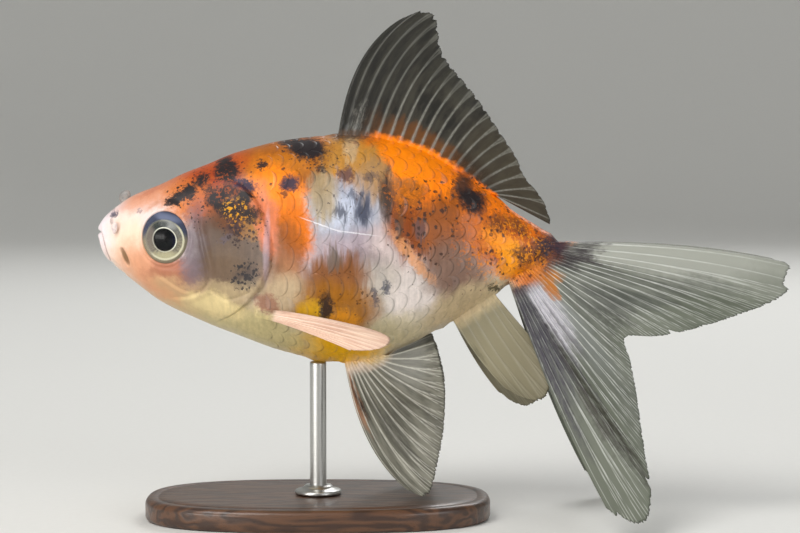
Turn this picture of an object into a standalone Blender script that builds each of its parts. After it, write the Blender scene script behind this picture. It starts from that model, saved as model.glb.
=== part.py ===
"""Calico fantail goldfish, life-size still model on a small display stand.

Frame: +Z up, the fish faces -X, its left side faces -Y.  The origin is the
centre of the stand base's underside.  The fish is built in its own frame,
whose origin is the tip of the snout on the median plane, and every length in
its tables is in body units: one sixty-sixth of the standard length, so one
millimetre at the built size.
"""

import math

import bmesh
import bpy
from mathutils import Matrix, Vector

# ---------------------------------------------------------------- dimensions
STANDARD_LENGTH = 0.066          # tip of the snout to the root of the tail fin
U = STANDARD_LENGTH / 66.0       # one body unit
GAP = 0.0003                     # clearance between neighbouring solids
SNOUT_FORWARD = 0.03175          # snout tip ahead of the stand's centre
SNOUT_HEIGHT = 0.04155           # snout tip above the floor

BASE_LENGTH, BASE_WIDTH, BASE_HEIGHT = 0.050, 0.031, 0.0032
BASE_CHAMFER = 0.0008
ROD_RADIUS = 0.0012
ROD_SOCKET_DEPTH = 0.0018
COLLAR_RADIUS, COLLAR_HEIGHT = 0.0034, 0.0013
FIT = 0.00015                    # sliding fit of the rod in base and collar

AROUND = 36                      # vertices around the body
FIN_EDGE = 0.55                  # least thickness of a fin, body units

# Body sections: distance behind the snout, height of the back, height of the
# belly, half width, height of the widest point, squareness above and below it.
SECTIONS = (
    (0.0, 0.0, 0.0, 0.0, 0.0, 2.0, 2.0),
    (1.0, 2.1, -3.4, 2.6, -0.7, 2.3, 2.1),
    (4.3, 4.7, -6.6, 4.7, -1.5, 2.5, 2.1),
    (9.0, 6.8, -10.1, 6.7, -2.0, 2.5, 2.1),
    (15.5, 9.6, -13.2, 8.6, -2.5, 2.3, 2.2),
    (21.7, 11.9, -15.6, 9.9, -2.8, 2.1, 2.3),
    (28.0, 13.3, -17.7, 10.7, -3.0, 1.9, 2.3),
    (34.5, 13.7, -18.9, 10.8, -3.2, 1.85, 2.3),
    (41.0, 13.2, -18.0, 10.2, -3.0, 1.85, 2.2),
    (47.5, 11.1, -15.1, 8.6, -2.4, 1.9, 2.1),
    (54.0, 7.2, -11.2, 6.2, -2.2, 2.0, 2.0),
    (59.5, 3.2, -8.3, 4.1, -2.7, 2.0, 2.0),
    (63.5, 0.7, -7.5, 3.0, -3.4, 2.0, 2.0),
    (67.5, -1.4, -7.0, 2.4, -4.3, 2.0, 2.0),
)
GILL_X, GILL_Z = 25.5, -2.4      # rearmost point of the gill opening's edge
STALK_X = 50.6                   # trunk ends and tail stalk begins
STALK_TOP = (67.1, -1.2)         # slanted end of the tail stalk, above
STALK_LOW = (59.4, -8.6)         # and below

EYE_CENTRE = (10.5, 6.2, -0.65)
EYE_RADII = (3.6, 2.2, 3.9)      # along the head, outward, up
EYE_TURN = math.radians(16.0)    # the eyes look a little forward

# Fins: along the root 0 to 1, chord angle of the ray in side view, length of
# the ray in side view, distance of its tip from the median plane, and how far
# the ray curls from root to tip (degrees).
CAUDAL_RAYS = (
    (0.00, -5.0, 31.7, 5.1, 13),
    (0.08, -7.5, 32.7, 6.4, 12),
    (0.16, -11.0, 31.9, 8.2, 10),
    (0.25, -17.0, 27.0, 8.9, 8),
    (0.35, -23.0, 22.6, 9.2, 6),
    (0.45, -30.5, 18.5, 9.0, 4),
    (0.52, -38.0, 14.9, 8.0, 0),
    (0.60, -43.0, 17.7, 9.7, -3),
    (0.70, -50.0, 22.7, 12.4, -5),
    (0.80, -55.0, 27.9, 15.3, -7),
    (0.88, -58.0, 32.5, 18.4, -8),
    (0.94, -62.0, 35.2, 19.8, -9),
    (1.00, -67.0, 32.2, 18.4, -10),
)
CAUDAL_FORK = 0.52
DORSAL_RAYS = (
    (0.00, 61, 18.8, 0, 50),
    (0.06, 59, 20.5, 0, 50),
    (0.12, 57, 20.3, 0, 46),
    (0.20, 58, 18.4, 0, 38),
    (0.36, 60, 13.9, 0, 30),
    (0.60, 54, 10.3, 0, 24),
    (0.75, 43, 8.1, 0, 20),
    (0.87, 30, 6.7, 0, 16),
    (0.95, 12, 5.8, 0, 12),
    (1.00, -28, 8.8, 0, 0),
)
DORSAL_FROM, DORSAL_TO = 34.7, 57.7
PELVIC_RAYS = (
    (0.00, -62, 19.1, 11.5, -42),
    (0.12, -58, 20.9, 11.0, -36),
    (0.30, -49, 17.7, 9.5, -28),
    (0.50, -39, 14.6, 8.0, -20),
    (0.70, -25, 11.6, 6.5, -14),
    (0.87, -4, 9.0, 5.5, -8),
    (1.00, 20, 7.7, 4.6, 0),
)
PELVIC_FROM, PELVIC_TO, PELVIC_OUT = 35.7, 41.2, 3.2
ANAL_RAYS = (
    (0.00, -54, 12.2, 4.2, -14),
    (0.20, -56, 14.5, 4.4, -12),
    (0.45, -57, 16.2, 4.6, -10),
    (0.70, -56, 16.0, 4.4, -8),
    (0.87, -54, 13.6, 3.8, -6),
    (1.00, -51, 10.0, 3.0, -4),
)
ANAL_FROM, ANAL_TO, ANAL_OUT = 51.4, 57.6, 1.4
PECTORAL_RAYS = (
    (0.00, -17.5, 12.6, 17.2, 6),
    (0.20, -14.0, 15.8, 18.8, 6),
    (0.40, -11.0, 17.4, 18.2, 6),
    (0.60, -9.0, 17.0, 16.6, 5),
    (0.80, -8.5, 13.8, 14.2, 4),
    (1.00, -9.0, 9.2, 11.8, 2),
)
PECTORAL_LOW, PECTORAL_HIGH = (24.7, -11.9), (25.5, -10.6)


# ------------------------------------------------------------ scene and tools
for old in list(bpy.data.objects):
    bpy.data.objects.remove(old, do_unlink=True)

fish = bpy.data.objects.new("fish_pose", None)
fish.location = (-SNOUT_FORWARD, 0.0, SNOUT_HEIGHT)
bpy.context.scene.collection.objects.link(fish)


def material(name, colour, roughness, metallic=0.0):
    mat = bpy.data.materials.get(name) or bpy.data.materials.new(name)
    mat.use_nodes = True
    shader = mat.node_tree.nodes["Principled BSDF"]
    shader.inputs["Base Color"].default_value = (*colour, 1.0)
    shader.inputs["Roughness"].default_value = roughness
    shader.inputs["Metallic"].default_value = metallic
    return mat


def add(name, bm, mat, parent=fish):
    """Make one object from a bmesh and put it in its parent's frame."""
    bm.normal_update()
    bmesh.ops.recalc_face_normals(bm, faces=bm.faces)
    mesh = bpy.data.meshes.new(name)
    bm.to_mesh(mesh)
    bm.free()
    mesh.materials.append(mat)
    return place(name, mesh, parent)


def place(name, mesh, parent=fish):
    ob = bpy.data.objects.new(name, mesh)
    bpy.context.scene.collection.objects.link(ob)
    ob.parent = parent
    mesh.shade_smooth()
    mesh.set_sharp_from_angle(angle=math.radians(40))
    return ob


def helper(ob):
    ob.hide_render = True
    ob.display_type = "WIRE"
    return ob


def boolean(ob, other, operation):
    mod = ob.modifiers.new(other.name, "BOOLEAN")
    mod.object = other
    mod.operation = operation
    mod.solver = "EXACT"


def smooth_row(rows, key):
    """Every column of a table at `key`, on a smooth curve through its rows."""
    keys = [r[0] for r in rows]
    key = min(max(key, keys[0]), keys[-1])
    i = max(j for j in range(len(rows) - 1) if keys[j] <= key)
    h = keys[i + 1] - keys[i]
    f = (key - keys[i]) / h

    def slope(j, c):
        lo, hi = max(j - 1, 0), min(j + 1, len(rows) - 1)
        return (rows[hi][c] - rows[lo][c]) / (keys[hi] - keys[lo])

    out = []
    for c in range(1, len(rows[0])):
        a, b = rows[i][c], rows[i + 1][c]
        out.append(
            (2 * f**3 - 3 * f**2 + 1) * a + (f**3 - 2 * f**2 + f) * h * slope(i, c)
            + (3 * f**2 - 2 * f**3) * b + (f**3 - f**2) * h * slope(i + 1, c)
        )
    return out


# The square root of the distance is the curve's parameter: it rounds the snout.
PROFILE = [(math.sqrt(row[0]), *row[1:]) for row in SECTIONS]


def section(x):
    return smooth_row(PROFILE, math.sqrt(max(x, 0.0)))


def signed_power(v, p):
    return math.copysign(abs(v) ** p, v)


def body_point(x, turn):
    """A point of the body's surface, turn being 0 at the back, pi at the belly."""
    top, low, half, mid, up_n, low_n = section(x)
    c, s = math.cos(turn), math.sin(turn)
    n = up_n if c >= 0 else low_n
    rise = (top - mid) if c >= 0 else (mid - low)
    return Vector((x, half * signed_power(s, 2 / n), mid + rise * signed_power(c, 2 / n)))


def side_at(x, z):
    """How far the body's surface is from the median plane at a height."""
    top, low, half, mid, up_n, low_n = section(x)
    n, f = (up_n, (z - mid) / (top - mid)) if z >= mid else (low_n, (z - mid) / (low - mid))
    return half * max(0.0, 1 - min(f, 1.0) ** n) ** (1 / n)


def belly_at(x, y):
    """Height of the body's underside at a distance from the median plane."""
    top, low, half, mid, up_n, low_n = section(x)
    return mid + (low - mid) * max(0.0, 1 - min(abs(y) / half, 1.0) ** low_n) ** (1 / low_n)


def gill_line(z):
    """Where the gill cover's free edge lies behind the snout, at a height."""
    d = z - GILL_Z
    if d > 0:
        return GILL_X - 10.0 * (1 - math.exp(-((d / 13.0) ** 2)))
    return GILL_X - 8.0 * (1 - math.exp(-((-d / 7.6) ** 3)))


def stalk_end(z):
    (xt, zt), (xl, zl) = STALK_TOP, STALK_LOW
    return xt + (xl - xt) * (z - zt) / (zl - zt)


def stretch(name, front, back, rings, mat, pole=False):
    """A closed length of body between two cuts; each cut gives x at a height."""
    bm = bmesh.new()

    def ring(f):
        verts = []
        for k in range(AROUND):
            turn = 2 * math.pi * k / AROUND
            x = front(0.0) + (back(0.0) - front(0.0)) * f
            for _ in range(12):
                z = body_point(x, turn).z
                a, b = math.sqrt(front(z)), math.sqrt(back(z))
                x = (a + (b - a) * f) ** 2
            verts.append(bm.verts.new(body_point(x, turn) * U))
        return verts

    def bridge(a, b):
        for k in range(AROUND):
            n = (k + 1) % AROUND
            bm.faces.new((a[k], a[n], b[n], b[k]))

    def cap(rim, cut):
        centre_z = sum(v.co.z for v in rim) / AROUND / U
        last = rim
        for k in (0.62, 0.28):
            inner = []
            for v in rim:
                z = centre_z + (v.co.z / U - centre_z) * k
                inner.append(bm.verts.new((cut(z) * U, v.co.y * k, z * U)))
            bridge(last, inner)
            last = inner
        tip = bm.verts.new((cut(centre_z) * U, 0.0, centre_z * U))
        for k in range(AROUND):
            bm.faces.new((last[k], last[(k + 1) % AROUND], tip))

    first = 1 if pole else 0
    loops = [ring(i / rings) for i in range(first, rings + 1)]
    for a, b in zip(loops, loops[1:]):
        bridge(a, b)
    if pole:
        tip = bm.verts.new((0.0, 0.0, 0.0))
        for k in range(AROUND):
            bm.faces.new((loops[0][k], loops[0][(k + 1) % AROUND], tip))
    else:
        cap(loops[0], front)
    cap(loops[-1], back)
    return add(name, bm, mat)


def prism(name, outline, near, far):
    """A straight helper solid between two planes beside the median plane."""
    bm = bmesh.new()
    a = [bm.verts.new((x * U, near * U, z * U)) for x, z in outline]
    b = [bm.verts.new((x * U, far * U, z * U)) for x, z in outline]
    bm.faces.new(a)
    bm.faces.new(b)
    for k in range(len(a)):
        n = (k + 1) % len(a)
        bm.faces.new((a[k], a[n], b[n], b[k]))
    return helper(add(name, bm, flesh))


def ray_path(angle, length, curl, steps):
    """A curved ray in side view, from (0, 0), with the chord it is given."""
    points, x, z = [(0.0, 0.0)], 0.0, 0.0
    for k in range(steps):
        a = math.radians(-curl * ((k + 0.5) / steps) ** 1.6)
        x, z = x + math.cos(a) / steps, z + math.sin(a) / steps
        points.append((x, z))
    turn = math.radians(angle) - math.atan2(z, x)
    size = length / math.hypot(x, z)
    c, s = math.cos(turn) * size, math.sin(turn) * size
    return [(px * c - pz * s, px * s + pz * c) for px, pz in points]


def fin(name, rays, root, across, along, thick, mat, start=0.0, stop=1.0, side=1, sweep=0.0, size=1.0):
    """A fan of curved rays as one closed blade, thick at the root and thin at
    the edge.  root(t) gives the foot of a ray; side is -1 for the left."""
    grid = []
    for i in range(across + 1):
        t = start + (stop - start) * i / across
        angle, length, tip_y, curl = smooth_row(rays, t)
        foot = root(t)
        row = []
        for k, (dx, dz) in enumerate(ray_path(angle + sweep, length * size, curl, along)):
            s = k / along
            y = foot.y + (tip_y - foot.y) * s
            row.append(Vector((foot.x + dx, y, foot.z + dz)))
        grid.append(row)

    def normal(i, k):
        a = grid[min(i + 1, across)][k] - grid[max(i - 1, 0)][k]
        b = grid[i][min(k + 1, along)] - grid[i][max(k - 1, 0)]
        return a.cross(b).normalized()

    bm = bmesh.new()
    faces = []
    for sign in (1, -1):
        sheet = []
        for i in range(across + 1):
            row = []
            for k in range(along + 1):
                half = 0.5 * (FIN_EDGE + (thick - FIN_EDGE) * (1 - k / along) ** 1.5)
                p = grid[i][k] + normal(i, k) * half * sign
                row.append(bm.verts.new((p.x * U, p.y * U * side, p.z * U)))
            sheet.append(row)
        faces.append(sheet)
    a, b = faces
    for i in range(across):
        for k in range(along):
            for s in (a, b):
                bm.faces.new((s[i][k], s[i + 1][k], s[i + 1][k + 1], s[i][k + 1]))
        for k in (0, along):
            bm.faces.new((a[i][k], a[i + 1][k], b[i + 1][k], b[i][k]))
    for k in range(along):
        for i in (0, across):
            bm.faces.new((a[i][k], a[i][k + 1], b[i][k + 1], b[i][k]))
    return add(name, bm, mat)


def turned(name, profile, around, mat, parent=None):
    """A turned solid about Z from (radius, height) pairs, closed at its ends."""
    bm = bmesh.new()
    loops = []
    for r, z in profile:
        if r == 0.0:
            loops.append([bm.verts.new((0.0, 0.0, z))])
        else:
            loops.append([
                bm.verts.new((r * math.cos(2 * math.pi * k / around),
                              r * math.sin(2 * math.pi * k / around), z))
                for k in range(around)
            ])
    pairs = list(zip(loops, loops[1:]))
    if len(loops[0]) > 1 and len(loops[-1]) > 1:
        pairs.append((loops[-1], loops[0]))
    for a, b in pairs:
        for k in range(around):
            n = (k + 1) % around
            if len(a) == 1:
                bm.faces.new((a[0], b[n], b[k]))
            elif len(b) == 1:
                bm.faces.new((a[k], a[n], b[0]))
            else:
                bm.faces.new((a[k], a[n], b[n], b[k]))
    return add(name, bm, mat, parent)


# ------------------------------------------------------------------ materials
flesh = material("pearl_skin", (0.78, 0.62, 0.52), 0.32)
orange = material("orange_skin", (0.85, 0.30, 0.06), 0.32)
cover = material("gill_cover_skin", (0.62, 0.50, 0.50), 0.30)
fin_rays = material("fin_rays", (0.50, 0.50, 0.46), 0.40)
pale_rays = material("pale_fin_rays", (0.86, 0.72, 0.66), 0.40)
eye_gloss = material("eye", (0.20, 0.21, 0.18), 0.08)
steel = material("satin_steel", (0.62, 0.62, 0.60), 0.30, 1.0)
wood = material("stained_wood", (0.10, 0.06, 0.04), 0.45)

# ----------------------------------------------------------------------- body
G = GAP / U
head = stretch("head", lambda z: 0.0, gill_line, 14, flesh, pole=True)
blank = head.data
trunk = stretch("trunk", lambda z: gill_line(z) + G, lambda z: STALK_X - G, 10, flesh)
stalk = stretch("tail_stalk", lambda z: STALK_X, stalk_end, 7, orange)

# The mouth runs steeply down from the snout; the jaw goes on under the chin.
mouth = ((-1.5, 0.1), (0.3, -0.1), (1.0, -1.5), (1.6, -3.5), (2.7, -4.5), (5.4, -5.6), (5.6, -10.0), (-1.5, -10.0))
room = tuple((x + (G if x > 0 else 0.0), z + (G if k < 6 else 0.0)) for k, (x, z) in enumerate(mouth))
jaw_block = prism("jaw_block", mouth, -9.0, 9.0)
jaw_room = prism("jaw_room", room, -9.0, 9.0)
jaw = place("lower_jaw", blank.copy())
boolean(jaw, jaw_block, "INTERSECT")
boolean(head, jaw_room, "DIFFERENCE")


def cover_outline(grow):
    """The gill cover's outline: a rounded plate that ends at the gill line."""
    points = []
    for k in range(24):
        turn = 2 * math.pi * k / 24
        x = 21.2 + (5.4 + grow) * signed_power(math.cos(turn), 2 / 2.5)
        z = -2.3 + (8.6 + grow) * signed_power(math.sin(turn), 2 / 2.5)
        points.append((x, z))
    return points


def eye_shape(name, grow, mat, side):
    """A flattened eyeball with a slight corneal dome over the iris."""
    bm = bmesh.new()
    bmesh.ops.create_uvsphere(bm, u_segments=18, v_segments=10, radius=1.0)
    for v in bm.verts:
        out = max(0.0, v.co.z)
        v.co.z *= 1.0 + 0.10 * out**6
    rx, ry, rz = (r + grow for r in EYE_RADII)
    frame = (
        Matrix.Translation(Vector(EYE_CENTRE) * U)
        @ Matrix.Rotation(EYE_TURN, 4, "Z")
        @ Matrix.Diagonal((rx * U, ry * U, rz * U, 1.0))
        @ Matrix.Rotation(math.radians(-90), 4, "X")
    )
    bm.transform(frame)
    if side < 0:
        bm.transform(Matrix.Diagonal((1.0, -1.0, 1.0, 1.0)))
    return add(name, bm, mat)


def back_at(x, y):
    """Height of the body's upper surface at a distance from the median plane."""
    top, low, half, mid, up_n, low_n = section(x)
    return mid + (top - mid) * max(0.0, 1 - min(abs(y) / half, 1.0) ** up_n) ** (1 / up_n)


def flap(name, centre, radii, lean, turn):
    """The small skin flap that stands between the two holes of a nostril."""
    bm = bmesh.new()
    bmesh.ops.create_uvsphere(bm, u_segments=10, v_segments=6, radius=1.0)
    bm.transform(
        Matrix.Translation(Vector(centre) * U)
        @ Matrix.Rotation(math.radians(turn), 4, "Z")
        @ Matrix.Rotation(math.radians(lean), 4, "X")
        @ Matrix.Diagonal((*(r * U for r in radii), 1.0))
    )
    return add(name, bm, flesh)


def body_root(x, z, lift):
    y = side_at(x, z)
    dy = side_at(x, z - 0.2) - side_at(x, z + 0.2)
    out = Vector((0.0, 0.4, dy)).normalized()
    return Vector((x, y, z)) + out * lift


for word, side in (("left", -1), ("right", 1)):
    plate = prism("cover_block_" + word, cover_outline(0.0), 6.3 * side, 14.0 * side)
    well = prism("cover_room_" + word, cover_outline(G), (6.3 - G) * side, 14.0 * side)
    gill = place("gill_cover_" + word, blank.copy())
    gill.data.materials.clear()
    gill.data.materials.append(cover)
    boolean(gill, plate, "INTERSECT")
    boolean(head, well, "DIFFERENCE")

    boolean(head, helper(eye_shape("eye_room_" + word, G, flesh, side)), "DIFFERENCE")
    eye_shape("eye_" + word, 0.0, eye_gloss, side)

    # The right pelvic fin trails a little more and the right anal fin a little less.
    fin("pelvic_fin_" + word, PELVIC_RAYS,
        lambda t: Vector((PELVIC_FROM + (PELVIC_TO - PELVIC_FROM) * t, PELVIC_OUT,
                          belly_at(PELVIC_FROM + (PELVIC_TO - PELVIC_FROM) * t, PELVIC_OUT) - 0.75)),
        10, 6, 1.2, fin_rays, side=side, sweep=0.0 if side < 0 else 3.0)
    fin("anal_fin_" + word, ANAL_RAYS,
        lambda t: Vector((ANAL_FROM + (ANAL_TO - ANAL_FROM) * t, ANAL_OUT,
                          belly_at(ANAL_FROM + (ANAL_TO - ANAL_FROM) * t, ANAL_OUT) - 0.55)),
        8, 5, 1.0, fin_rays, side=side, sweep=2.0 if side < 0 else -4.0, size=0.97 if side < 0 else 1.03)
    (xa, za), (xb, zb) = PECTORAL_LOW, PECTORAL_HIGH
    fin("pectoral_fin_" + word, PECTORAL_RAYS,
        lambda t: body_root(xa + (xb - xa) * t, za + (zb - za) * t, 0.95),
        9, 6, 1.1, pale_rays, side=side)

    # Each half of the twin tail is parted at its fork into two lobes.
    def tail_root(t):
        (xt, zt), (xl, zl) = STALK_TOP, STALK_LOW
        bulge = math.sin(math.pi * t) * 0.5
        return Vector((xt + (xl - xt) * t + 0.42 + bulge * 0.7,
                       1.2 + 0.8 * t, zt - 0.4 * (1 - t) + (zl - zt) * t - bulge * 0.7))

    fin("caudal_upper_" + word, CAUDAL_RAYS, tail_root, 11, 7, 1.5, fin_rays,
        stop=CAUDAL_FORK - 0.012, side=side)
    fin("caudal_lower_" + word, CAUDAL_RAYS, tail_root, 11, 7, 1.5, fin_rays,
        start=CAUDAL_FORK + 0.012, side=side)


# The right flap stands up from the snout, the left one lies folded down its side.
flap("nostril_flap_right", (3.5, 2.2, back_at(3.5, 2.2) + 1.3), (0.85, 0.3, 0.95), -14, -10)
flap("nostril_flap_left", (2.8, -side_at(2.8, 0.5) - 0.75, 0.5), (0.55, 0.3, 0.85), 4, -22)


def dorsal_root(t):
    x = DORSAL_FROM + (DORSAL_TO - DORSAL_FROM) * t
    return Vector((x, 0.0, section(x)[0] + 0.5))


fin("dorsal_fin", DORSAL_RAYS, dorsal_root, 20, 7, 1.3, fin_rays)

# ---------------------------------------------------------------------- stand
outline = []
for k in range(48):
    turn = 2 * math.pi * k / 48
    outline.append((signed_power(math.cos(turn), 2 / 2.6), signed_power(math.sin(turn), 2 / 2.6)))
bm = bmesh.new()
loops = []
for inset, z in ((BASE_CHAMFER * 0.5, 0.0), (0.0, BASE_CHAMFER * 0.5),
                 (0.0, BASE_HEIGHT - BASE_CHAMFER), (BASE_CHAMFER, BASE_HEIGHT)):
    a, b = BASE_LENGTH / 2 - inset, BASE_WIDTH / 2 - inset
    loops.append([bm.verts.new((a * x, b * y, z)) for x, y in outline])
for a, b in zip(loops, loops[1:]):
    for k in range(len(a)):
        n = (k + 1) % len(a)
        bm.faces.new((a[k], a[n], b[n], b[k]))
bm.faces.new(loops[0])
bm.faces.new(loops[-1])
base = add("stand_base", bm, wood, None)

socket_floor = BASE_HEIGHT - ROD_SOCKET_DEPTH
bore = helper(turned("rod_bore", (
    (0.0, socket_floor), (ROD_RADIUS + FIT, socket_floor),
    (ROD_RADIUS + FIT, BASE_HEIGHT + 0.002), (0.0, BASE_HEIGHT + 0.002)), 16, wood))
boolean(base, bore, "DIFFERENCE")

inner, outer = ROD_RADIUS + FIT, COLLAR_RADIUS
foot = BASE_HEIGHT + FIT
turned("stand_collar", (
    (inner, foot), (outer, foot), (outer, foot + COLLAR_HEIGHT * 0.45),
    (outer * 0.62, foot + COLLAR_HEIGHT * 0.8), (outer * 0.55, foot + COLLAR_HEIGHT),
    (inner, foot + COLLAR_HEIGHT)), 24, steel)

rod_top = SNOUT_HEIGHT + belly_at(SNOUT_FORWARD / U, 0.0) * U - GAP
turned("stand_rod", (
    (0.0, socket_floor + FIT), (ROD_RADIUS, socket_floor + FIT),
    (ROD_RADIUS, rod_top - 0.0002), (ROD_RADIUS * 0.8, rod_top), (0.0, rod_top)), 20, steel)
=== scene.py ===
"""Looks of the calico fantail goldfish: skin, scales, fins, eyes and stand.

Lengths are in body units, one millimetre at this size, in the fish's own frame:
the origin is the snout tip on the median plane, +X runs to the tail, +Z is up and
the left side is -Y.  The snout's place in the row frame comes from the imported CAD.
"""

import math

import bpy
import numpy as np
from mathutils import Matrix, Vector


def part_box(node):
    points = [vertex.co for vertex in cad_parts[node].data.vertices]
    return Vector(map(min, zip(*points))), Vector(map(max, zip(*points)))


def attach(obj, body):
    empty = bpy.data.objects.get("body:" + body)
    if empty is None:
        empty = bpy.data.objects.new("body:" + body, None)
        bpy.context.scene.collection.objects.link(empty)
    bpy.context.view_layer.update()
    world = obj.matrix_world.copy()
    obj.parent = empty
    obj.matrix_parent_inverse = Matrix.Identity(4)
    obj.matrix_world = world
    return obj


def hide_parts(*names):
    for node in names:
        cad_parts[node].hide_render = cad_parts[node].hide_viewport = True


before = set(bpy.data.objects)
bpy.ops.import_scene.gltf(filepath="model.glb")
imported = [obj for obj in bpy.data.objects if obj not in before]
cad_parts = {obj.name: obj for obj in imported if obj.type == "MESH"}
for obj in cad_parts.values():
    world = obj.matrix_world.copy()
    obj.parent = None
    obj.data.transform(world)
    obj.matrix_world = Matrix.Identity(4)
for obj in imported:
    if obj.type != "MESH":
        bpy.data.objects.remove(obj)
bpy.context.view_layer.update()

# ------------------------------------------------------------- driving sizes
UNIT = 0.066 / 66                       # standard length over its body units
EYE_CENTRE = (10.5, 6.2, -0.65)
EYE_RADII = (3.6, 2.2, 3.9)             # along the head, outward, up
EYE_TURN = math.radians(16.0)
EYE_SHOWS = 0.955                       # share of the eyeball's outline that the rim leaves open
eye_low, eye_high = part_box("eye_left")
SNOUT = np.array((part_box("head")[0].x, 0.0, (eye_low.z + eye_high.z) / 2 - EYE_CENTRE[2] * UNIT))

# Body sections, as in the CAD: distance behind the snout, back, belly, half
# width, height of the widest point, squareness above and below it.
SECTIONS = np.array((
    (0.0, 0.0, 0.0, 0.0, 0.0, 2.0, 2.0),
    (1.0, 2.1, -3.4, 2.6, -0.7, 2.3, 2.1),
    (4.3, 4.7, -6.6, 4.7, -1.5, 2.5, 2.1),
    (9.0, 6.8, -10.1, 6.7, -2.0, 2.5, 2.1),
    (15.5, 9.6, -13.2, 8.6, -2.5, 2.3, 2.2),
    (21.7, 11.9, -15.6, 9.9, -2.8, 2.1, 2.3),
    (28.0, 13.3, -17.7, 10.7, -3.0, 1.9, 2.3),
    (34.5, 13.7, -18.9, 10.8, -3.2, 1.85, 2.3),
    (41.0, 13.2, -18.0, 10.2, -3.0, 1.85, 2.2),
    (47.5, 11.1, -15.1, 8.6, -2.4, 1.9, 2.1),
    (54.0, 7.2, -11.2, 6.2, -2.2, 2.0, 2.0),
    (59.5, 3.2, -8.3, 4.1, -2.7, 2.0, 2.0),
    (63.5, 0.7, -7.5, 3.0, -3.4, 2.0, 2.0),
    (67.5, -1.4, -7.0, 2.4, -4.3, 2.0, 2.0),
))
PROFILE = SECTIONS.copy()
PROFILE[:, 0] = np.sqrt(PROFILE[:, 0])
STALK_TOP, STALK_LOW = (67.1, -1.2), (59.4, -8.6)

# Fins, as in the CAD: along the root 0 to 1, chord angle of the ray in side
# view, its length, its tip's distance from the median plane, its curl.
CAUDAL_RAYS = np.array((
    (0.00, -5.0, 31.7, 5.1, 13), (0.08, -7.5, 32.7, 6.4, 12), (0.16, -11.0, 31.9, 8.2, 10),
    (0.25, -17.0, 27.0, 8.9, 8), (0.35, -23.0, 22.6, 9.2, 6), (0.45, -30.5, 18.5, 9.0, 4),
    (0.52, -38.0, 14.9, 8.0, 0), (0.60, -43.0, 17.7, 9.7, -3), (0.70, -50.0, 22.7, 12.4, -5),
    (0.80, -55.0, 27.9, 15.3, -7), (0.88, -58.0, 32.5, 18.4, -8), (0.94, -62.0, 35.2, 19.8, -9),
    (1.00, -67.0, 32.2, 18.4, -10),
))
DORSAL_RAYS = np.array((
    (0.00, 61, 18.8, 0, 50), (0.06, 59, 20.5, 0, 50), (0.12, 57, 20.3, 0, 46), (0.20, 58, 18.4, 0, 38),
    (0.36, 60, 13.9, 0, 30), (0.60, 54, 10.3, 0, 24), (0.75, 43, 8.1, 0, 20), (0.87, 30, 6.7, 0, 16),
    (0.95, 12, 5.8, 0, 12), (1.00, -28, 8.8, 0, 0),
))
PELVIC_RAYS = np.array((
    (0.00, -62, 19.1, 11.5, -42), (0.12, -58, 20.9, 11.0, -36), (0.30, -49, 17.7, 9.5, -28),
    (0.50, -39, 14.6, 8.0, -20), (0.70, -25, 11.6, 6.5, -14), (0.87, -4, 9.0, 5.5, -8),
    (1.00, 20, 7.7, 4.6, 0),
))
ANAL_RAYS = np.array((
    (0.00, -54, 12.2, 4.2, -14), (0.20, -56, 14.5, 4.4, -12), (0.45, -57, 16.2, 4.6, -10),
    (0.70, -56, 16.0, 4.4, -8), (0.87, -54, 13.6, 3.8, -6), (1.00, -51, 10.0, 3.0, -4),
))
PECTORAL_RAYS = np.array((
    (0.00, -17.5, 12.6, 17.2, 6), (0.20, -14.0, 15.8, 18.8, 6), (0.40, -11.0, 17.4, 18.2, 6),
    (0.60, -9.0, 17.0, 16.6, 5), (0.80, -8.5, 13.8, 14.2, 4), (1.00, -9.0, 9.2, 11.8, 2),
))
DORSAL_FROM, DORSAL_TO = 34.7, 57.7
PELVIC_FROM, PELVIC_TO, PELVIC_OUT = 35.7, 41.2, 3.2
ANAL_FROM, ANAL_TO, ANAL_OUT = 51.4, 57.6, 1.4
PECTORAL_LOW, PECTORAL_HIGH = (24.7, -11.9), (25.5, -10.6)

# Lines on the left side of the head and body, in side view (x, z).
MOUTH = ((-0.8, -0.06), (0.4, -0.12), (1.0, -1.5), (1.55, -3.4), (2.05, -4.45))
MAXILLA = ((3.9, -2.5), (4.35, -3.4), (4.8, -4.5))
GILL_EDGE = ((19.2, 7.6), (21.6, 6.5), (23.4, 4.6), (24.8, 1.7), (25.5, -1.6), (25.3, -4.6), (24.2, -7.4),
             (22.2, -9.8), (19.6, -11.8), (16.2, -13.4))
PREOPERCLE = ((15.0, 4.6), (15.1, 1.1), (15.8, -2.4), (16.5, -5.6), (16.0, -7.8), (13.4, -9.0), (10.0, -9.4))
SUBOPERCLE = ((16.2, -7.7), (17.4, -8.4), (18.9, -9.4), (21.0, -8.9), (23.2, -7.9))
MOUTH_FOLD = ((2.1, -4.5), (2.9, -4.9), (3.8, -6.1))
JAW_FOLD = ((8.6, -5.2), (10.6, -6.8), (12.4, -7.9), (14.6, -8.7))
LATERAL_LINE = ((25.8, 3.4), (28.9, 1.9), (32.4, 0.8), (36.0, -0.2), (40.0, -0.7), (48.0, -1.2), (56.0, -2.2),
                (66.0, -3.8))


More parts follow.
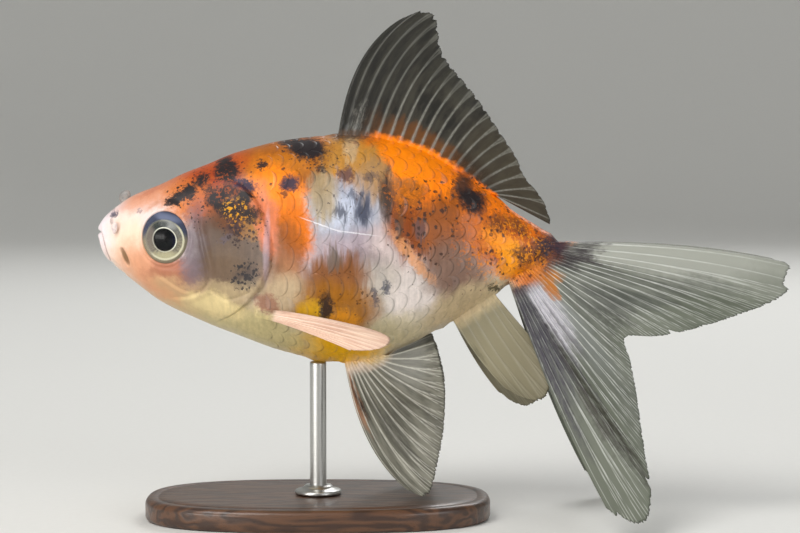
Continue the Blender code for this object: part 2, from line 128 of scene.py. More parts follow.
# ------------------------------------------------------------- shape helpers
def smooth_rows(rows, keys):
    """Every column of a table at each key, on smooth curves through its rows."""
    at = rows[:, 0]
    keys = np.clip(keys, at[0], at[-1])
    i = np.clip(np.searchsorted(at, keys, side="right") - 1, 0, len(at) - 2)
    slope = np.empty_like(rows)
    slope[1:-1] = (rows[2:] - rows[:-2]) / (at[2:] - at[:-2])[:, None]
    slope[0] = (rows[1] - rows[0]) / (at[1] - at[0])
    slope[-1] = (rows[-1] - rows[-2]) / (at[-1] - at[-2])
    h = (at[i + 1] - at[i])[..., None]
    f = (keys - at[i])[..., None] / h
    value = ((2 * f**3 - 3 * f**2 + 1) * rows[i] + (f**3 - 2 * f**2 + f) * h * slope[i]
             + (3 * f**2 - 2 * f**3) * rows[i + 1] + (f**3 - f**2) * h * slope[i + 1])
    return np.moveaxis(value, -1, 0)[1:]


def section(x):
    """Back, belly, half width, height of the widest point and squareness above and below it."""
    return smooth_rows(PROFILE, np.sqrt(np.maximum(x, 0.0)))


def signed_power(v, p):
    """A power of the size that keeps the sign."""
    return np.copysign(np.abs(v) ** p, v)


def body_point(x, turn):
    """The body's surface; turn is 0 at the back, pi / 2 on the right, pi at the belly."""
    top, low, half, mid, up_n, low_n = section(x)
    c, s = np.cos(turn), np.sin(turn)
    n = np.where(c >= 0, up_n, low_n)
    rise = np.where(c >= 0, top - mid, mid - low)
    return np.stack((x, half * signed_power(s, 2 / n), mid + rise * signed_power(c, 2 / n)), -1)


def side_at(x, z):
    """Distance of the body's surface from the median plane at a height."""
    top, low, half, mid, up_n, low_n = section(x)
    f = np.where(z >= mid, (z - mid) / (top - mid), (z - mid) / (low - mid))
    n = np.where(z >= mid, up_n, low_n)
    return half * np.maximum(0.0, 1 - np.minimum(np.abs(f), 1.0) ** n) ** (1 / n)


def height_at(x, y, back=False):
    """Height of the belly, or of the back, at a distance from the median plane."""
    top, low, half, mid, up_n, low_n = section(x)
    limit, n = (top, up_n) if back else (low, low_n)
    return mid + (limit - mid) * np.maximum(0.0, 1 - np.minimum(np.abs(y) / half, 1.0) ** n) ** (1 / n)


def stalk_end(z):
    """How far back the tail's stalk reaches at a height."""
    (xt, zt), (xl, zl) = STALK_TOP, STALK_LOW
    return xt + (xl - xt) * (z - zt) / (zl - zt)


def ease(v, a, b):
    """0 at a and 1 at b, with a smooth step between."""
    t = np.clip((v - a) / (b - a), 0.0, 1.0)
    return t * t * (3 - 2 * t)


def hill(v, width):
    """1 at 0, falling smoothly, and nearly 0 past twice the width."""
    return np.exp(-((v / width) ** 2))


def smooth_line(points, per=10):
    """A smooth curve through a few points."""
    p = np.asarray(points, float)
    rows = np.column_stack((np.arange(len(p)), p))
    return smooth_rows(rows, np.linspace(0, len(p) - 1, (len(p) - 1) * per + 1)).T


def to_line(points, x, z):
    """Distance to a curve in side view, signed positive on its right as drawn, and the share along it."""
    line = smooth_line(points)
    best = np.full(x.shape, 1e9)
    signed, share = np.zeros(x.shape), np.zeros(x.shape)
    for k, (a, b) in enumerate(zip(line, line[1:])):
        d = b - a
        t = np.clip(((x - a[0]) * d[0] + (z - a[1]) * d[1]) / (d @ d), 0, 1)
        gx, gz = x - a[0] - t * d[0], z - a[1] - t * d[1]
        far = np.hypot(gx, gz)
        near = far < best
        best = np.where(near, far, best)
        signed = np.where(near, np.copysign(far, -(d[0] * gz - d[1] * gx)), signed)
        share = np.where(near, (k + t) / (len(line) - 1), share)
    return signed, share


def grid_normals(p, wrap):
    """Unit normals of a grid of points; wrap closes its second direction."""
    down = np.gradient(p, axis=0)
    across = (np.roll(p, -1, 1) - np.roll(p, 1, 1)) if wrap else np.gradient(p, axis=1)
    n = np.cross(down, across)
    return n / np.maximum(np.linalg.norm(n, axis=-1, keepdims=True), 1e-12)


def ring_quads(rings, around, swapped=False):
    """Quads over a stack of closed rings, and the rings' vertex numbers; swapped turns the faces round."""
    index = np.arange(rings * around).reshape(rings, around)
    near, far = index[:-1], index[1:]
    near_next, far_next = np.roll(near, -1, 1), np.roll(far, -1, 1)
    order = (near, far, far_next, near_next) if swapped else (near, near_next, far_next, far)
    return np.stack(order, -1).reshape(-1, 4), index


def make_piece(name, points, quads, material, nodes=(), tris=None, values=None, uv=None, rides=True):
    """A smooth mesh from arrays, in the fish's frame, riding on the body."""
    mesh = bpy.data.meshes.new(name)
    place = SNOUT + np.asarray(points).reshape(-1, 3) * UNIT
    mesh.vertices.add(len(place))
    mesh.vertices.foreach_set("co", place.astype(np.float32).ravel())
    tris = np.zeros((0, 3), int) if tris is None else np.asarray(tris)
    corners = np.concatenate((np.asarray(quads).ravel(), tris.ravel()))
    sizes = np.concatenate((np.full(len(quads), 4), np.full(len(tris), 3)))
    mesh.loops.add(len(corners))
    mesh.loops.foreach_set("vertex_index", corners.astype(np.int32))
    mesh.polygons.add(len(sizes))
    starts = np.concatenate(([0], np.cumsum(sizes)[:-1]))
    mesh.polygons.foreach_set("loop_start", starts.astype(np.int32))
    mesh.update(calc_edges=True)
    for key, data in (values or {}).items():
        kind = "FLOAT_VECTOR" if np.ndim(data) > 1 else "FLOAT"
        held = mesh.attributes.new(key, kind, "POINT")
        field = "vector" if np.ndim(data) > 1 else "value"
        held.data.foreach_set(field, np.asarray(data, np.float32).ravel())
    if uv is not None:
        layer = mesh.uv_layers.new(name="OFBake")
        layer.data.foreach_set("uv", np.asarray(uv, np.float32).ravel())
    mesh.shade_smooth()
    mesh.materials.append(material)
    ob = bpy.data.objects.new(name, mesh)
    bpy.context.scene.collection.objects.link(ob)
    if rides:
        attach(ob, "root")
        if nodes:
            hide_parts(*nodes)
    return ob


# ------------------------------------------------------------- shader helpers
def linear(r, g, b):
    """A linear colour with alpha from its display values, 0 to 255."""
    return (*(v / 255 / 12.92 if v <= 10 else ((v / 255 + 0.055) / 1.055) ** 2.4 for v in (r, g, b)), 1.0)


class Shader:
    """Short ways to add nodes to one tree; inputs are sockets or plain values."""

    def __init__(self, tree):
        self.tree = tree

    def node(self, kind, **settings):
        made = self.tree.nodes.new(("Node" if kind == "GroupOutput" else "ShaderNode") + kind)
        for key, value in settings.items():
            setattr(made, key, value)
        return made

    def feed(self, socket, value):
        if value is None:
            return
        if isinstance(value, bpy.types.NodeSocket):
            self.tree.links.new(value, socket)
        else:
            socket.default_value = value

    def math(self, operation, a, b=None, c=None, clamp=False):
        made = self.node("Math", operation=operation, use_clamp=clamp)
        for socket, value in zip(made.inputs, (a, b, c)):
            self.feed(socket, value)
        return made.outputs[0]

    def vector(self, operation, a, b=None, c=None):
        made = self.node("VectorMath", operation=operation)
        for socket, value in zip(made.inputs, (a, b, c)):
            self.feed(socket, value)
        return made.outputs["Value" if operation == "DOT_PRODUCT" else "Vector"]

    def times(self, a, b, plus=None):
        return self.math("MULTIPLY" if plus is None else "MULTIPLY_ADD", a, b, plus)

    def step(self, value, a, b, low=0.0, high=1.0):
        """low at a and high at b, with a smooth step between."""
        made = self.node("MapRange", interpolation_type="SMOOTHSTEP")
        for key, held in zip(("Value", "From Min", "From Max", "To Min", "To Max"), (value, a, b, low, high)):
            self.feed(made.inputs[key], held)
        return made.outputs["Result"]

    def mix(self, share, a, b, blend="MIX"):
        """Two colours mixed, each a socket or display values."""
        made = self.node("Mix", data_type="RGBA", blend_type=blend)
        self.feed(made.inputs[0], share)
        for socket, value in ((made.inputs[6], a), (made.inputs[7], b)):
            self.feed(socket, linear(*value) if isinstance(value, tuple) else value)
        return made.outputs[2]

    def place(self):
        return self.node("TexCoord").outputs["Object"]

    def noise(self, place, scale, detail=2.0, rough=0.5):
        made = self.node("TexNoise")
        for key, held in (("Vector", place), ("Scale", scale), ("Detail", detail), ("Roughness", rough)):
            self.feed(made.inputs[key], held)
        return made.outputs

    def shift(self, noise):
        """A noise's colour as a vector about zero."""
        return self.vector("SUBTRACT", noise["Color"], (0.5, 0.5, 0.5))

    def cells(self, place, scale):
        made = self.node("TexVoronoi")
        self.feed(made.inputs["Vector"], place)
        self.feed(made.inputs["Scale"], scale)
        return made.outputs

    def parts(self, vector):
        made = self.node("SeparateXYZ")
        self.feed(made.inputs[0], vector)
        return made.outputs

    def oval(self, place, cx, cz, rx, rz, tilt=0.0):
        """Squared distance from a tilted oval's middle over X and Z, 1 being its edge."""
        c, s = math.cos(math.radians(tilt)), math.sin(math.radians(tilt))
        near = self.vector("SUBTRACT", place, (cx, 0.0, cz))
        a = self.vector("DOT_PRODUCT", near, (c / rx, 0.0, s / rx))
        b = self.vector("DOT_PRODUCT", near, (-s / rz, 0.0, c / rz))
        return self.times(a, a, self.times(b, b))

    def within(self, place, cx, cz, rx, rz, tilt, soft, strength=1.0):
        """strength inside a tilted oval and 0 outside, over a soft edge."""
        far = self.oval(place, cx, cz, rx, rz, tilt)
        return self.step(far, (1 + soft) ** 2, (1 - soft) ** 2, 0.0, strength)

    def joined(self, x, y, z):
        made = self.node("CombineXYZ")
        for socket, value in zip(made.inputs, (x, y, z)):
            self.feed(socket, value)
        return made.outputs[0]

    def attribute(self, name):
        return self.node("Attribute", attribute_name=name).outputs

    def bump(self, height, depth, strength):
        made = self.node("Bump")
        made.inputs["Distance"].default_value = depth
        made.inputs["Strength"].default_value = strength
        self.feed(made.inputs["Height"], height)
        return made.outputs[0]

    def dress(self, shader, relief=None, **sockets):
        """Feeds a shader's sockets by name, and its normal from a relief's height, depth and strength."""
        for key, value in sockets.items():
            self.feed(shader.inputs[key.replace("_", " ")], value)
        if relief:
            self.feed(shader.inputs["Normal"], self.bump(*relief))


def new_material(name, **constants):
    """A material, its Principled shader with constant sockets set, and helpers."""
    material = bpy.data.materials.new(name)
    material.use_nodes = True
    shader = material.node_tree.nodes["Principled BSDF"]
    for key, value in constants.items():
        shader.inputs[key.replace("_", " ")].default_value = value
    return material, shader, Shader(material.node_tree)


# ---------------------------------------------------------------- the markings
PEARL = (222, 202, 190)
INK = (34, 26, 28)
UMBER = (76, 44, 26)
SLATE = (62, 66, 84)
EMBER = (255, 136, 0)
OCHRE = (166, 92, 10)

# Coloured areas from the ground up: way its edge is drawn, x, z, reach along
# and up, tilt in degrees, softness of the edge, strength and display colour.
AREAS = (
    ("soft", 33.0, -13.0, 13.0, 6.0, 6, 0.7, 0.8, (196, 178, 146)),
    ("soft", 56.0, -13.0, 9.0, 5.5, 20, 0.3, 1.0, (196, 178, 142)),
    ("soft", 67.5, -4.6, 7.5, 6.4, 0, 0.3, 1.0, (190, 108, 34)),
    ("soft", 57.0, 9.5, 7.5, 5.0, -36, 0.3, 1.0, (206, 100, 20)),
    ("soft", 30.0, 14.0, 16.0, 8.6, -3, 0.25, 1.0, OCHRE),
    ("rag", 24.2, 8.0, 2.0, 2.6, 20, 0.6, 0.6, (222, 126, 14)),
    ("rag", 31.5, 8.2, 2.4, 1.8, 0, 0.7, 0.6, (136, 76, 14)),
    ("rag", 28.6, 9.8, 2.6, 1.2, -10, 0.8, 0.6, (206, 122, 20)),
    ("streak", 37.2, 10.4, 4.0, 4.6, 0, 0.5, 0.9, (188, 134, 56)),
    ("streak", 36.6, 12.2, 0.9, 2.0, 0, 0.6, 0.5, (196, 180, 150)),
    ("soft", 45.0, 14.0, 14.0, 3.0, -14, 0.3, 1.0, (226, 118, 10)),
    ("rag", 36.6, 14.6, 3.0, 1.5, 0, 0.5, 1.0, (82, 66, 54)),
    ("streak", 36.0, 2.8, 5.0, 4.5, 0, 0.45, 0.95, (160, 166, 184)),
    ("rag", 34.4, 2.8, 2.2, 2.0, 0, 0.6, 0.8, (204, 210, 226)),
    ("rag", 37.6, 4.6, 1.6, 1.6, 0, 0.6, 0.6, (196, 204, 224)),
    ("streak", 32.8, 5.2, 1.8, 3.4, 0, 0.5, 0.85, (168, 146, 106)),
    ("streak", 40.2, 7.4, 2.6, 3.0, 0, 0.5, 0.8, (168, 132, 90)),
    ("soft", 38.0, -3.2, 8.0, 3.4, 4, 0.6, 0.95, (172, 156, 164)),
    ("soft", 43.4, -4.6, 4.4, 4.6, -30, 0.5, 0.95, (208, 190, 186)),
    ("rag", 38.6, -4.4, 2.4, 1.8, 0, 0.8, 0.8, (132, 116, 120)),
    ("soft", 40.5, -9.6, 4.4, 4.6, 0, 0.6, 0.85, (186, 178, 166)),
    ("soft", 45.6, -9.8, 3.4, 4.0, 0, 0.45, 0.95, (228, 216, 210)),
    ("soft", 42.0, -15.0, 7.5, 2.6, 14, 0.6, 0.75, (190, 176, 134)),
    ("rag", 26.2, 4.9, 3.9, 4.4, 30, 0.28, 1.0, EMBER),
    ("rag", 29.0, 1.0, 2.1, 4.0, 14, 0.5, 1.0, (226, 116, 14)),
    ("rag", 27.4, -2.4, 2.3, 3.6, 4, 0.6, 0.9, (150, 82, 28)),
    ("soft", 27.0, -6.4, 2.6, 2.6, 4, 0.7, 0.7, (176, 124, 84)),
    ("soft", 27.6, -8.8, 3.0, 2.6, 10, 0.6, 0.9, (186, 164, 132)),
    ("streak", 34.6, -6.4, 4.2, 3.4, 0, 0.45, 0.95, (132, 76, 20)),
    ("soft", 34.6, -10.8, 5.4, 3.6, 0, 0.4, 0.95, (152, 94, 4)),
    ("rag", 31.2, -11.4, 2.0, 1.8, 0, 0.6, 0.9, (206, 156, 22)),
    ("rag", 35.6, -12.4, 1.8, 1.4, 0, 0.6, 0.9, (212, 136, 4)),
    ("soft", 32.6, -16.8, 7.6, 2.8, 4, 0.35, 1.0, (224, 166, 20)),
    ("streak", 45.6, 2.4, 3.8, 5.8, 0, 0.35, 1.0, (134, 62, 6)),
    ("rag", 44.6, 6.8, 2.4, 2.6, 0, 0.6, 0.8, (186, 104, 20)),
    ("soft", 46.4, 9.9, 6.0, 3.0, -24, 0.18, 1.0, EMBER),
    ("soft", 50.4, 5.4, 3.8, 3.0, -52, 0.25, 1.0, (252, 130, 2)),
    ("rag", 48.6, 3.4, 2.0, 1.8, -30, 0.6, 0.8, (224, 112, 16)),
    ("streak", 49.8, 0.6, 3.8, 4.2, 0, 0.4, 1.0, (146, 76, 14)),
    ("soft", 51.4, -5.4, 4.0, 4.0, -30, 0.55, 0.95, (124, 92, 76)),
    ("soft", 52.0, -10.6, 5.0, 2.2, 34, 0.55, 0.95, (190, 168, 132)),
    ("rag", 45.2, -3.2, 3.8, 0.6, -50, 0.7, 0.75, (222, 154, 100)),
    ("rag", 59.8, -0.6, 7.4, 5.2, -38, 0.35, 1.0, (190, 92, 10)),
    ("rag", 57.4, 4.2, 5.6, 1.7, -38, 0.5, 1.0, (248, 126, 6)),
    ("rag", 55.6, 0.0, 1.8, 2.6, 0, 0.6, 0.8, (206, 106, 20)),
    ("rag", 65.0, -5.2, 4.4, 2.8, -38, 0.5, 1.0, (170, 90, 20)),
    ("rag", 58.0, -1.6, 2.4, 1.2, -40, 0.7, 1.0, (250, 146, 0)),
    ("rag", 59.6, -3.2, 1.2, 1.6, -10, 0.7, 0.9, (255, 160, 6)),
    ("rag", 59.2, -5.6, 1.6, 1.0, -10, 0.7, 0.8, (244, 150, 16)),
    ("rag", 63.0, -5.2, 2.4, 1.3, -34, 0.6, 0.9, (192, 112, 40)),
    ("soft", 5.5, 0.6, 8.6, 6.6, 12, 0.55, 1.0, (242, 220, 214)),
    ("soft", 2.0, 0.6, 2.6, 2.6, 0, 0.8, 0.8, (236, 226, 232)),
    ("soft", 15.5, -10.4, 9.0, 3.4, -24, 0.6, 1.0, (204, 176, 128)),
    ("soft", 23.0, -13.9, 7.4, 3.0, -18, 0.5, 0.95, (196, 182, 134)),
    ("soft", 10.4, 6.9, 6.6, 1.8, 27, 0.6, 0.9, (216, 140, 98)),
    ("rag", 9.4, 6.8, 3.0, 0.6, 27, 0.7, 0.6, (196, 112, 80)),
    ("rag", 16.6, 8.6, 5.0, 2.5, 26, 0.5, 1.0, (184, 78, 24)),
    ("rag", 18.4, 6.4, 3.6, 2.4, -10, 0.5, 0.9, (154, 58, 22)),
    ("rag", 14.4, 4.0, 3.6, 2.4, -18, 0.7, 1.0, (210, 120, 52)),
    ("rag", 16.2, 3.6, 2.5, 2.2, -18, 0.6, 0.95, (186, 88, 18)),
    ("soft", 5.0, -2.2, 2.6, 3.6, 10, 0.7, 0.8, (252, 214, 180)),
    ("soft", 8.6, -5.6, 4.6, 2.6, -34, 0.7, 0.85, (218, 146, 106)),
    ("soft", 12.6, -7.4, 4.0, 1.7, -16, 0.6, 0.85, (202, 164, 122)),
    ("soft", 14.0, -5.0, 2.6, 1.6, 20, 0.6, 0.9, (154, 98, 80)),
    ("soft", 11.5, -4.8, 3.4, 1.0, 12, 0.7, 0.8, (176, 108, 82)),
    ("rag", 17.2, -3.0, 2.0, 4.0, -4, 0.7, 0.9, (132, 104, 98)),
    ("rag", 14.6, -2.0, 1.7, 4.4, -4, 0.7, 0.9, (114, 103, 112)),
    ("rag", 17.4, 0.9, 1.8, 1.3, 0, 0.7, 0.85, (104, 74, 62)),
    ("soft", 20.8, -2.4, 4.9, 6.0, -4, 0.5, 0.93, (84, 64, 48)),
    ("rag", 19.0, -5.2, 2.4, 2.6, 0, 0.7, 0.6, (112, 90, 68)),
    ("rag", 20.8, 2.6, 3.2, 2.4, -14, 0.5, 0.95, (106, 58, 26)),
    ("rag", 22.9, 0.8, 1.4, 1.4, 0, 0.6, 0.8, (158, 112, 60)),
    ("soft", 24.9, 2.0, 1.3, 4.4, 12, 0.5, 0.9, (216, 122, 82)),
    ("soft", 19.8, -8.2, 4.2, 1.4, 6, 0.5, 0.9, (178, 156, 120)),
    ("soft", 17.4, -10.4, 3.8, 1.5, -12, 0.5, 0.9, (226, 204, 150)),
    ("line", 24.9, -1.8, 0.35, 3.6, -2, 0.8, 0.5, (190, 170, 182)),
    ("rag", 25.0, -9.9, 1.5, 1.0, -30, 0.7, 0.85, (146, 98, 78)),
)

# Dark marks, with a few painted highlights and painted shades, drawn over the areas in the same way.
MARKS = (
    ("rag", 12.0, 4.9, 1.3, 0.75, 30, 0.4, 1.0, INK),
    ("rag", 11.2, 4.4, 0.8, 0.5, 10, 0.5, 0.95, INK),
    ("rag", 13.6, 5.9, 1.0, 0.8, 20, 0.4, 1.0, INK),
    ("rag", 13.9, 4.9, 0.5, 0.4, 0, 0.5, 0.9, INK),
    ("rag", 15.3, 7.4, 1.15, 0.75, 40, 0.4, 1.0, INK),
    ("rag", 18.9, 8.9, 1.7, 1.9, 20, 0.3, 1.0, INK),
    ("rag", 21.6, 6.9, 1.7, 0.6, -20, 0.45, 1.0, (58, 44, 64)),
    ("rag", 17.8, 4.9, 1.6, 1.45, 0, 0.35, 1.0, INK),
    ("rag", 19.6, 5.9, 1.3, 0.8, 0, 0.6, 0.9, INK),
    ("rag", 19.2, 3.4, 1.1, 0.9, 0, 0.7, 0.9, INK),
    ("rag", 16.4, 6.2, 0.7, 0.5, 30, 0.6, 0.8, INK),
    ("rag", 21.8, 5.0, 1.15, 1.1, 0, 0.4, 1.0, INK),
    ("rag", 20.6, 3.2, 2.0, 0.9, -26, 0.6, 0.9, INK),
    ("rag", 22.8, 2.7, 1.2, 0.9, -20, 0.6, 0.9, INK),
    ("rag", 20.4, 0.9, 1.0, 0.9, 0, 0.7, 0.85, (60, 44, 48)),
    ("rag", 19.0, -0.7, 0.9, 0.35, 34, 0.6, 0.7, (92, 80, 90)),
    ("rag", 22.0, -6.4, 1.4, 1.1, 30, 0.9, 0.55, (64, 54, 54)),
    ("rag", 30.4, 11.9, 2.7, 1.5, -12, 0.3, 1.0, INK),
    ("rag", 27.9, 12.9, 1.5, 0.6, 0, 0.4, 0.95, INK),
    ("rag", 23.9, 9.6, 0.8, 0.55, 0, 0.4, 0.95, INK),
    ("rag", 28.0, 7.1, 1.2, 0.95, 0, 0.45, 1.0, (60, 42, 58)),
    ("rag", 27.3, 5.6, 0.5, 0.4, 0, 0.5, 0.8, UMBER),
    ("rag", 32.5, 9.2, 0.6, 0.5, 0, 0.5, 0.8, INK),
    ("rag", 36.0, 8.3, 1.0, 0.95, 0, 0.5, 0.9, (100, 66, 60)),
    ("rag", 39.4, 8.0, 0.9, 0.55, 0, 0.6, 0.7, (92, 78, 78)),
    ("streak", 38.4, 3.2, 1.0, 1.8, 0, 0.55, 0.95, SLATE),
    ("streak", 35.3, 3.2, 0.9, 0.9, 0, 0.6, 0.8, SLATE),
    ("streak", 37.0, 5.4, 0.7, 0.7, 0, 0.6, 0.7, SLATE),
    ("streak", 41.7, 5.2, 0.9, 3.2, 0, 0.5, 0.95, (62, 48, 42)),
    ("streak", 34.4, -3.4, 0.75, 1.6, 0, 0.6, 0.8, (106, 92, 82)),
    ("rag", 33.2, -10.4, 0.8, 1.7, 0, 0.45, 1.0, (54, 34, 20)),
    ("rag", 52.6, 6.4, 1.3, 1.8, -20, 0.5, 0.95, (62, 44, 36)),
    ("rag", 54.0, 4.4, 2.0, 1.6, -30, 0.45, 1.0, INK),
    ("rag", 55.4, 7.9, 2.2, 0.8, -38, 0.6, 0.9, (60, 42, 30)),
    ("rag", 57.6, 1.4, 1.2, 1.2, 0, 0.7, 0.75, UMBER),
    ("rag", 60.6, 0.8, 1.6, 0.9, -38, 0.7, 0.8, UMBER),
    ("rag", 61.0, -3.2, 1.2, 0.8, -30, 0.7, 0.8, UMBER),
    ("rag", 64.0, -2.6, 1.6, 1.2, -30, 0.7, 0.85, (70, 42, 34)),
    ("streak", 46.4, 0.2, 0.7, 1.2, 0, 0.5, 0.8, (92, 70, 70)),
    ("streak", 43.6, 2.2, 0.6, 2.2, 0, 0.6, 0.7, (98, 66, 40)),
    ("rag", 41.6, -7.6, 0.5, 0.9, 0, 0.5, 0.8, SLATE),
    ("rag", 40.0, -8.8, 0.4, 1.1, 0, 0.6, 0.7, SLATE),
    ("rag", 57.2, -8.1, 1.0, 0.35, -20, 0.5, 0.9, (70, 62, 36)),
    ("rag", 66.6, -2.2, 2.4, 1.3, -24, 0.6, 0.95, (52, 42, 54)),
    ("rag", 66.4, -5.0, 1.4, 1.6, 0, 0.8, 0.7, (60, 44, 54)),
    ("rag", 62.2, -9.5, 3.4, 1.5, -10, 0.5, 0.95, (58, 46, 60)),
    # Painted highlights: two thin white strokes along the lateral line, light caught along its ridge.
    ("line", 32.6, 1.2, 2.4, 0.075, -20, 0.6, 0.75, (240, 238, 242)),
    ("line", 37.2, 0.1, 2.6, 0.075, -8, 0.6, 0.65, (240, 238, 242)),
    # Painted shade: a brown line along the groove behind the maxilla.
    ("line", 4.35, -3.5, 0.30, 1.15, 24, 0.5, 0.9, (128, 98, 66)),
    # Painted shade: a dark blot in the nostril's pit and a lavender one below it.
    ("soft", 2.75, 2.55, 0.42, 0.6, 20, 0.5, 0.9, (84, 84, 100)),
    ("soft", 2.55, 1.55, 0.25, 0.45, 0, 0.6, 0.6, (150, 128, 124)),
    ("soft", 6.6, 3.0, 0.25, 0.25, 0, 0.6, 0.6, (140, 120, 124)),
    # Painted shade: a thin line along the mouth's slit.
    ("line", 1.3, -2.2, 0.11, 2.2, 14, 0.5, 0.6, (150, 118, 108)),
)

# Fields of fine dots: x, z, reach along and up, tilt, dots to a millimetre, size, strength, colour.
DOTS = (
    (12.6, 5.2, 2.5, 1.6, 34, 1.9, 0.62, 0.9, INK),
    (17.4, 5.6, 6.4, 4.4, 16, 1.9, 0.42, 0.9, INK),
    (21.8, -6.0, 2.0, 2.1, -30, 1.9, 0.78, 0.95, (46, 42, 44)),
    (21.4, 0.8, 3.3, 3.0, -10, 1.9, 0.66, 0.9, (50, 34, 34)),
    (59.5, -1.6, 7.5, 5.4, -38, 1.25, 0.46, 0.85, (60, 34, 30)),
    (66.4, -3.4, 4.0, 2.6, -20, 1.9, 0.60, 0.9, (46, 40, 52)),
    (56.0, 7.6, 3.6, 1.6, -38, 1.9, 0.66, 0.9, (50, 36, 28)),
    (47.5, 1.6, 5.5, 6.5, -20, 1.25, 0.46, 0.9, (60, 36, 26)),
    (30.4, 11.4, 4.6, 2.6, -12, 1.9, 0.42, 0.9, INK),
    (36.0, -9.0, 5.0, 4.4, 0, 1.25, 0.30, 0.75, (72, 42, 24)),
    (36.5, 7.0, 7.0, 5.0, 0, 1.25, 0.26, 0.7, (80, 66, 70)),
    (50.5, -6.0, 6.0, 5.0, -30, 0.7, 0.18, 0.8, (84, 52, 44)),
    (28.0, 8.5, 8.0, 5.0, 0, 0.7, 0.20, 0.85, (60, 40, 34)),
)

# Flecks: x, z, reach along and up, strength, colour.
FLECKS = (
    (20.6, 3.1, 1.8, 1.5, 0.95, (226, 156, 14)),
    (22.4, 1.4, 2.2, 1.7, 0.6, (176, 112, 22)),
    (18.0, 6.8, 2.6, 2.0, 0.5, (190, 88, 20)),
    (59.0, -2.6, 5.0, 4.0, 0.6, (255, 158, 10)),
    (54.6, -0.6, 3.4, 3.6, 0.6, (206, 104, 6)),
    (45.0, 6.4, 3.4, 3.4, 0.5, (226, 122, 6)),
)


WHOLE_FISH = (-5.0, 75.0, -25.0, 20.0)  # side view: least and greatest x, least and greatest z
FAR_WARP, FAR_SHIFT = (11.0, 0.0, 8.0), (-4.6, 0.0, 1.8)


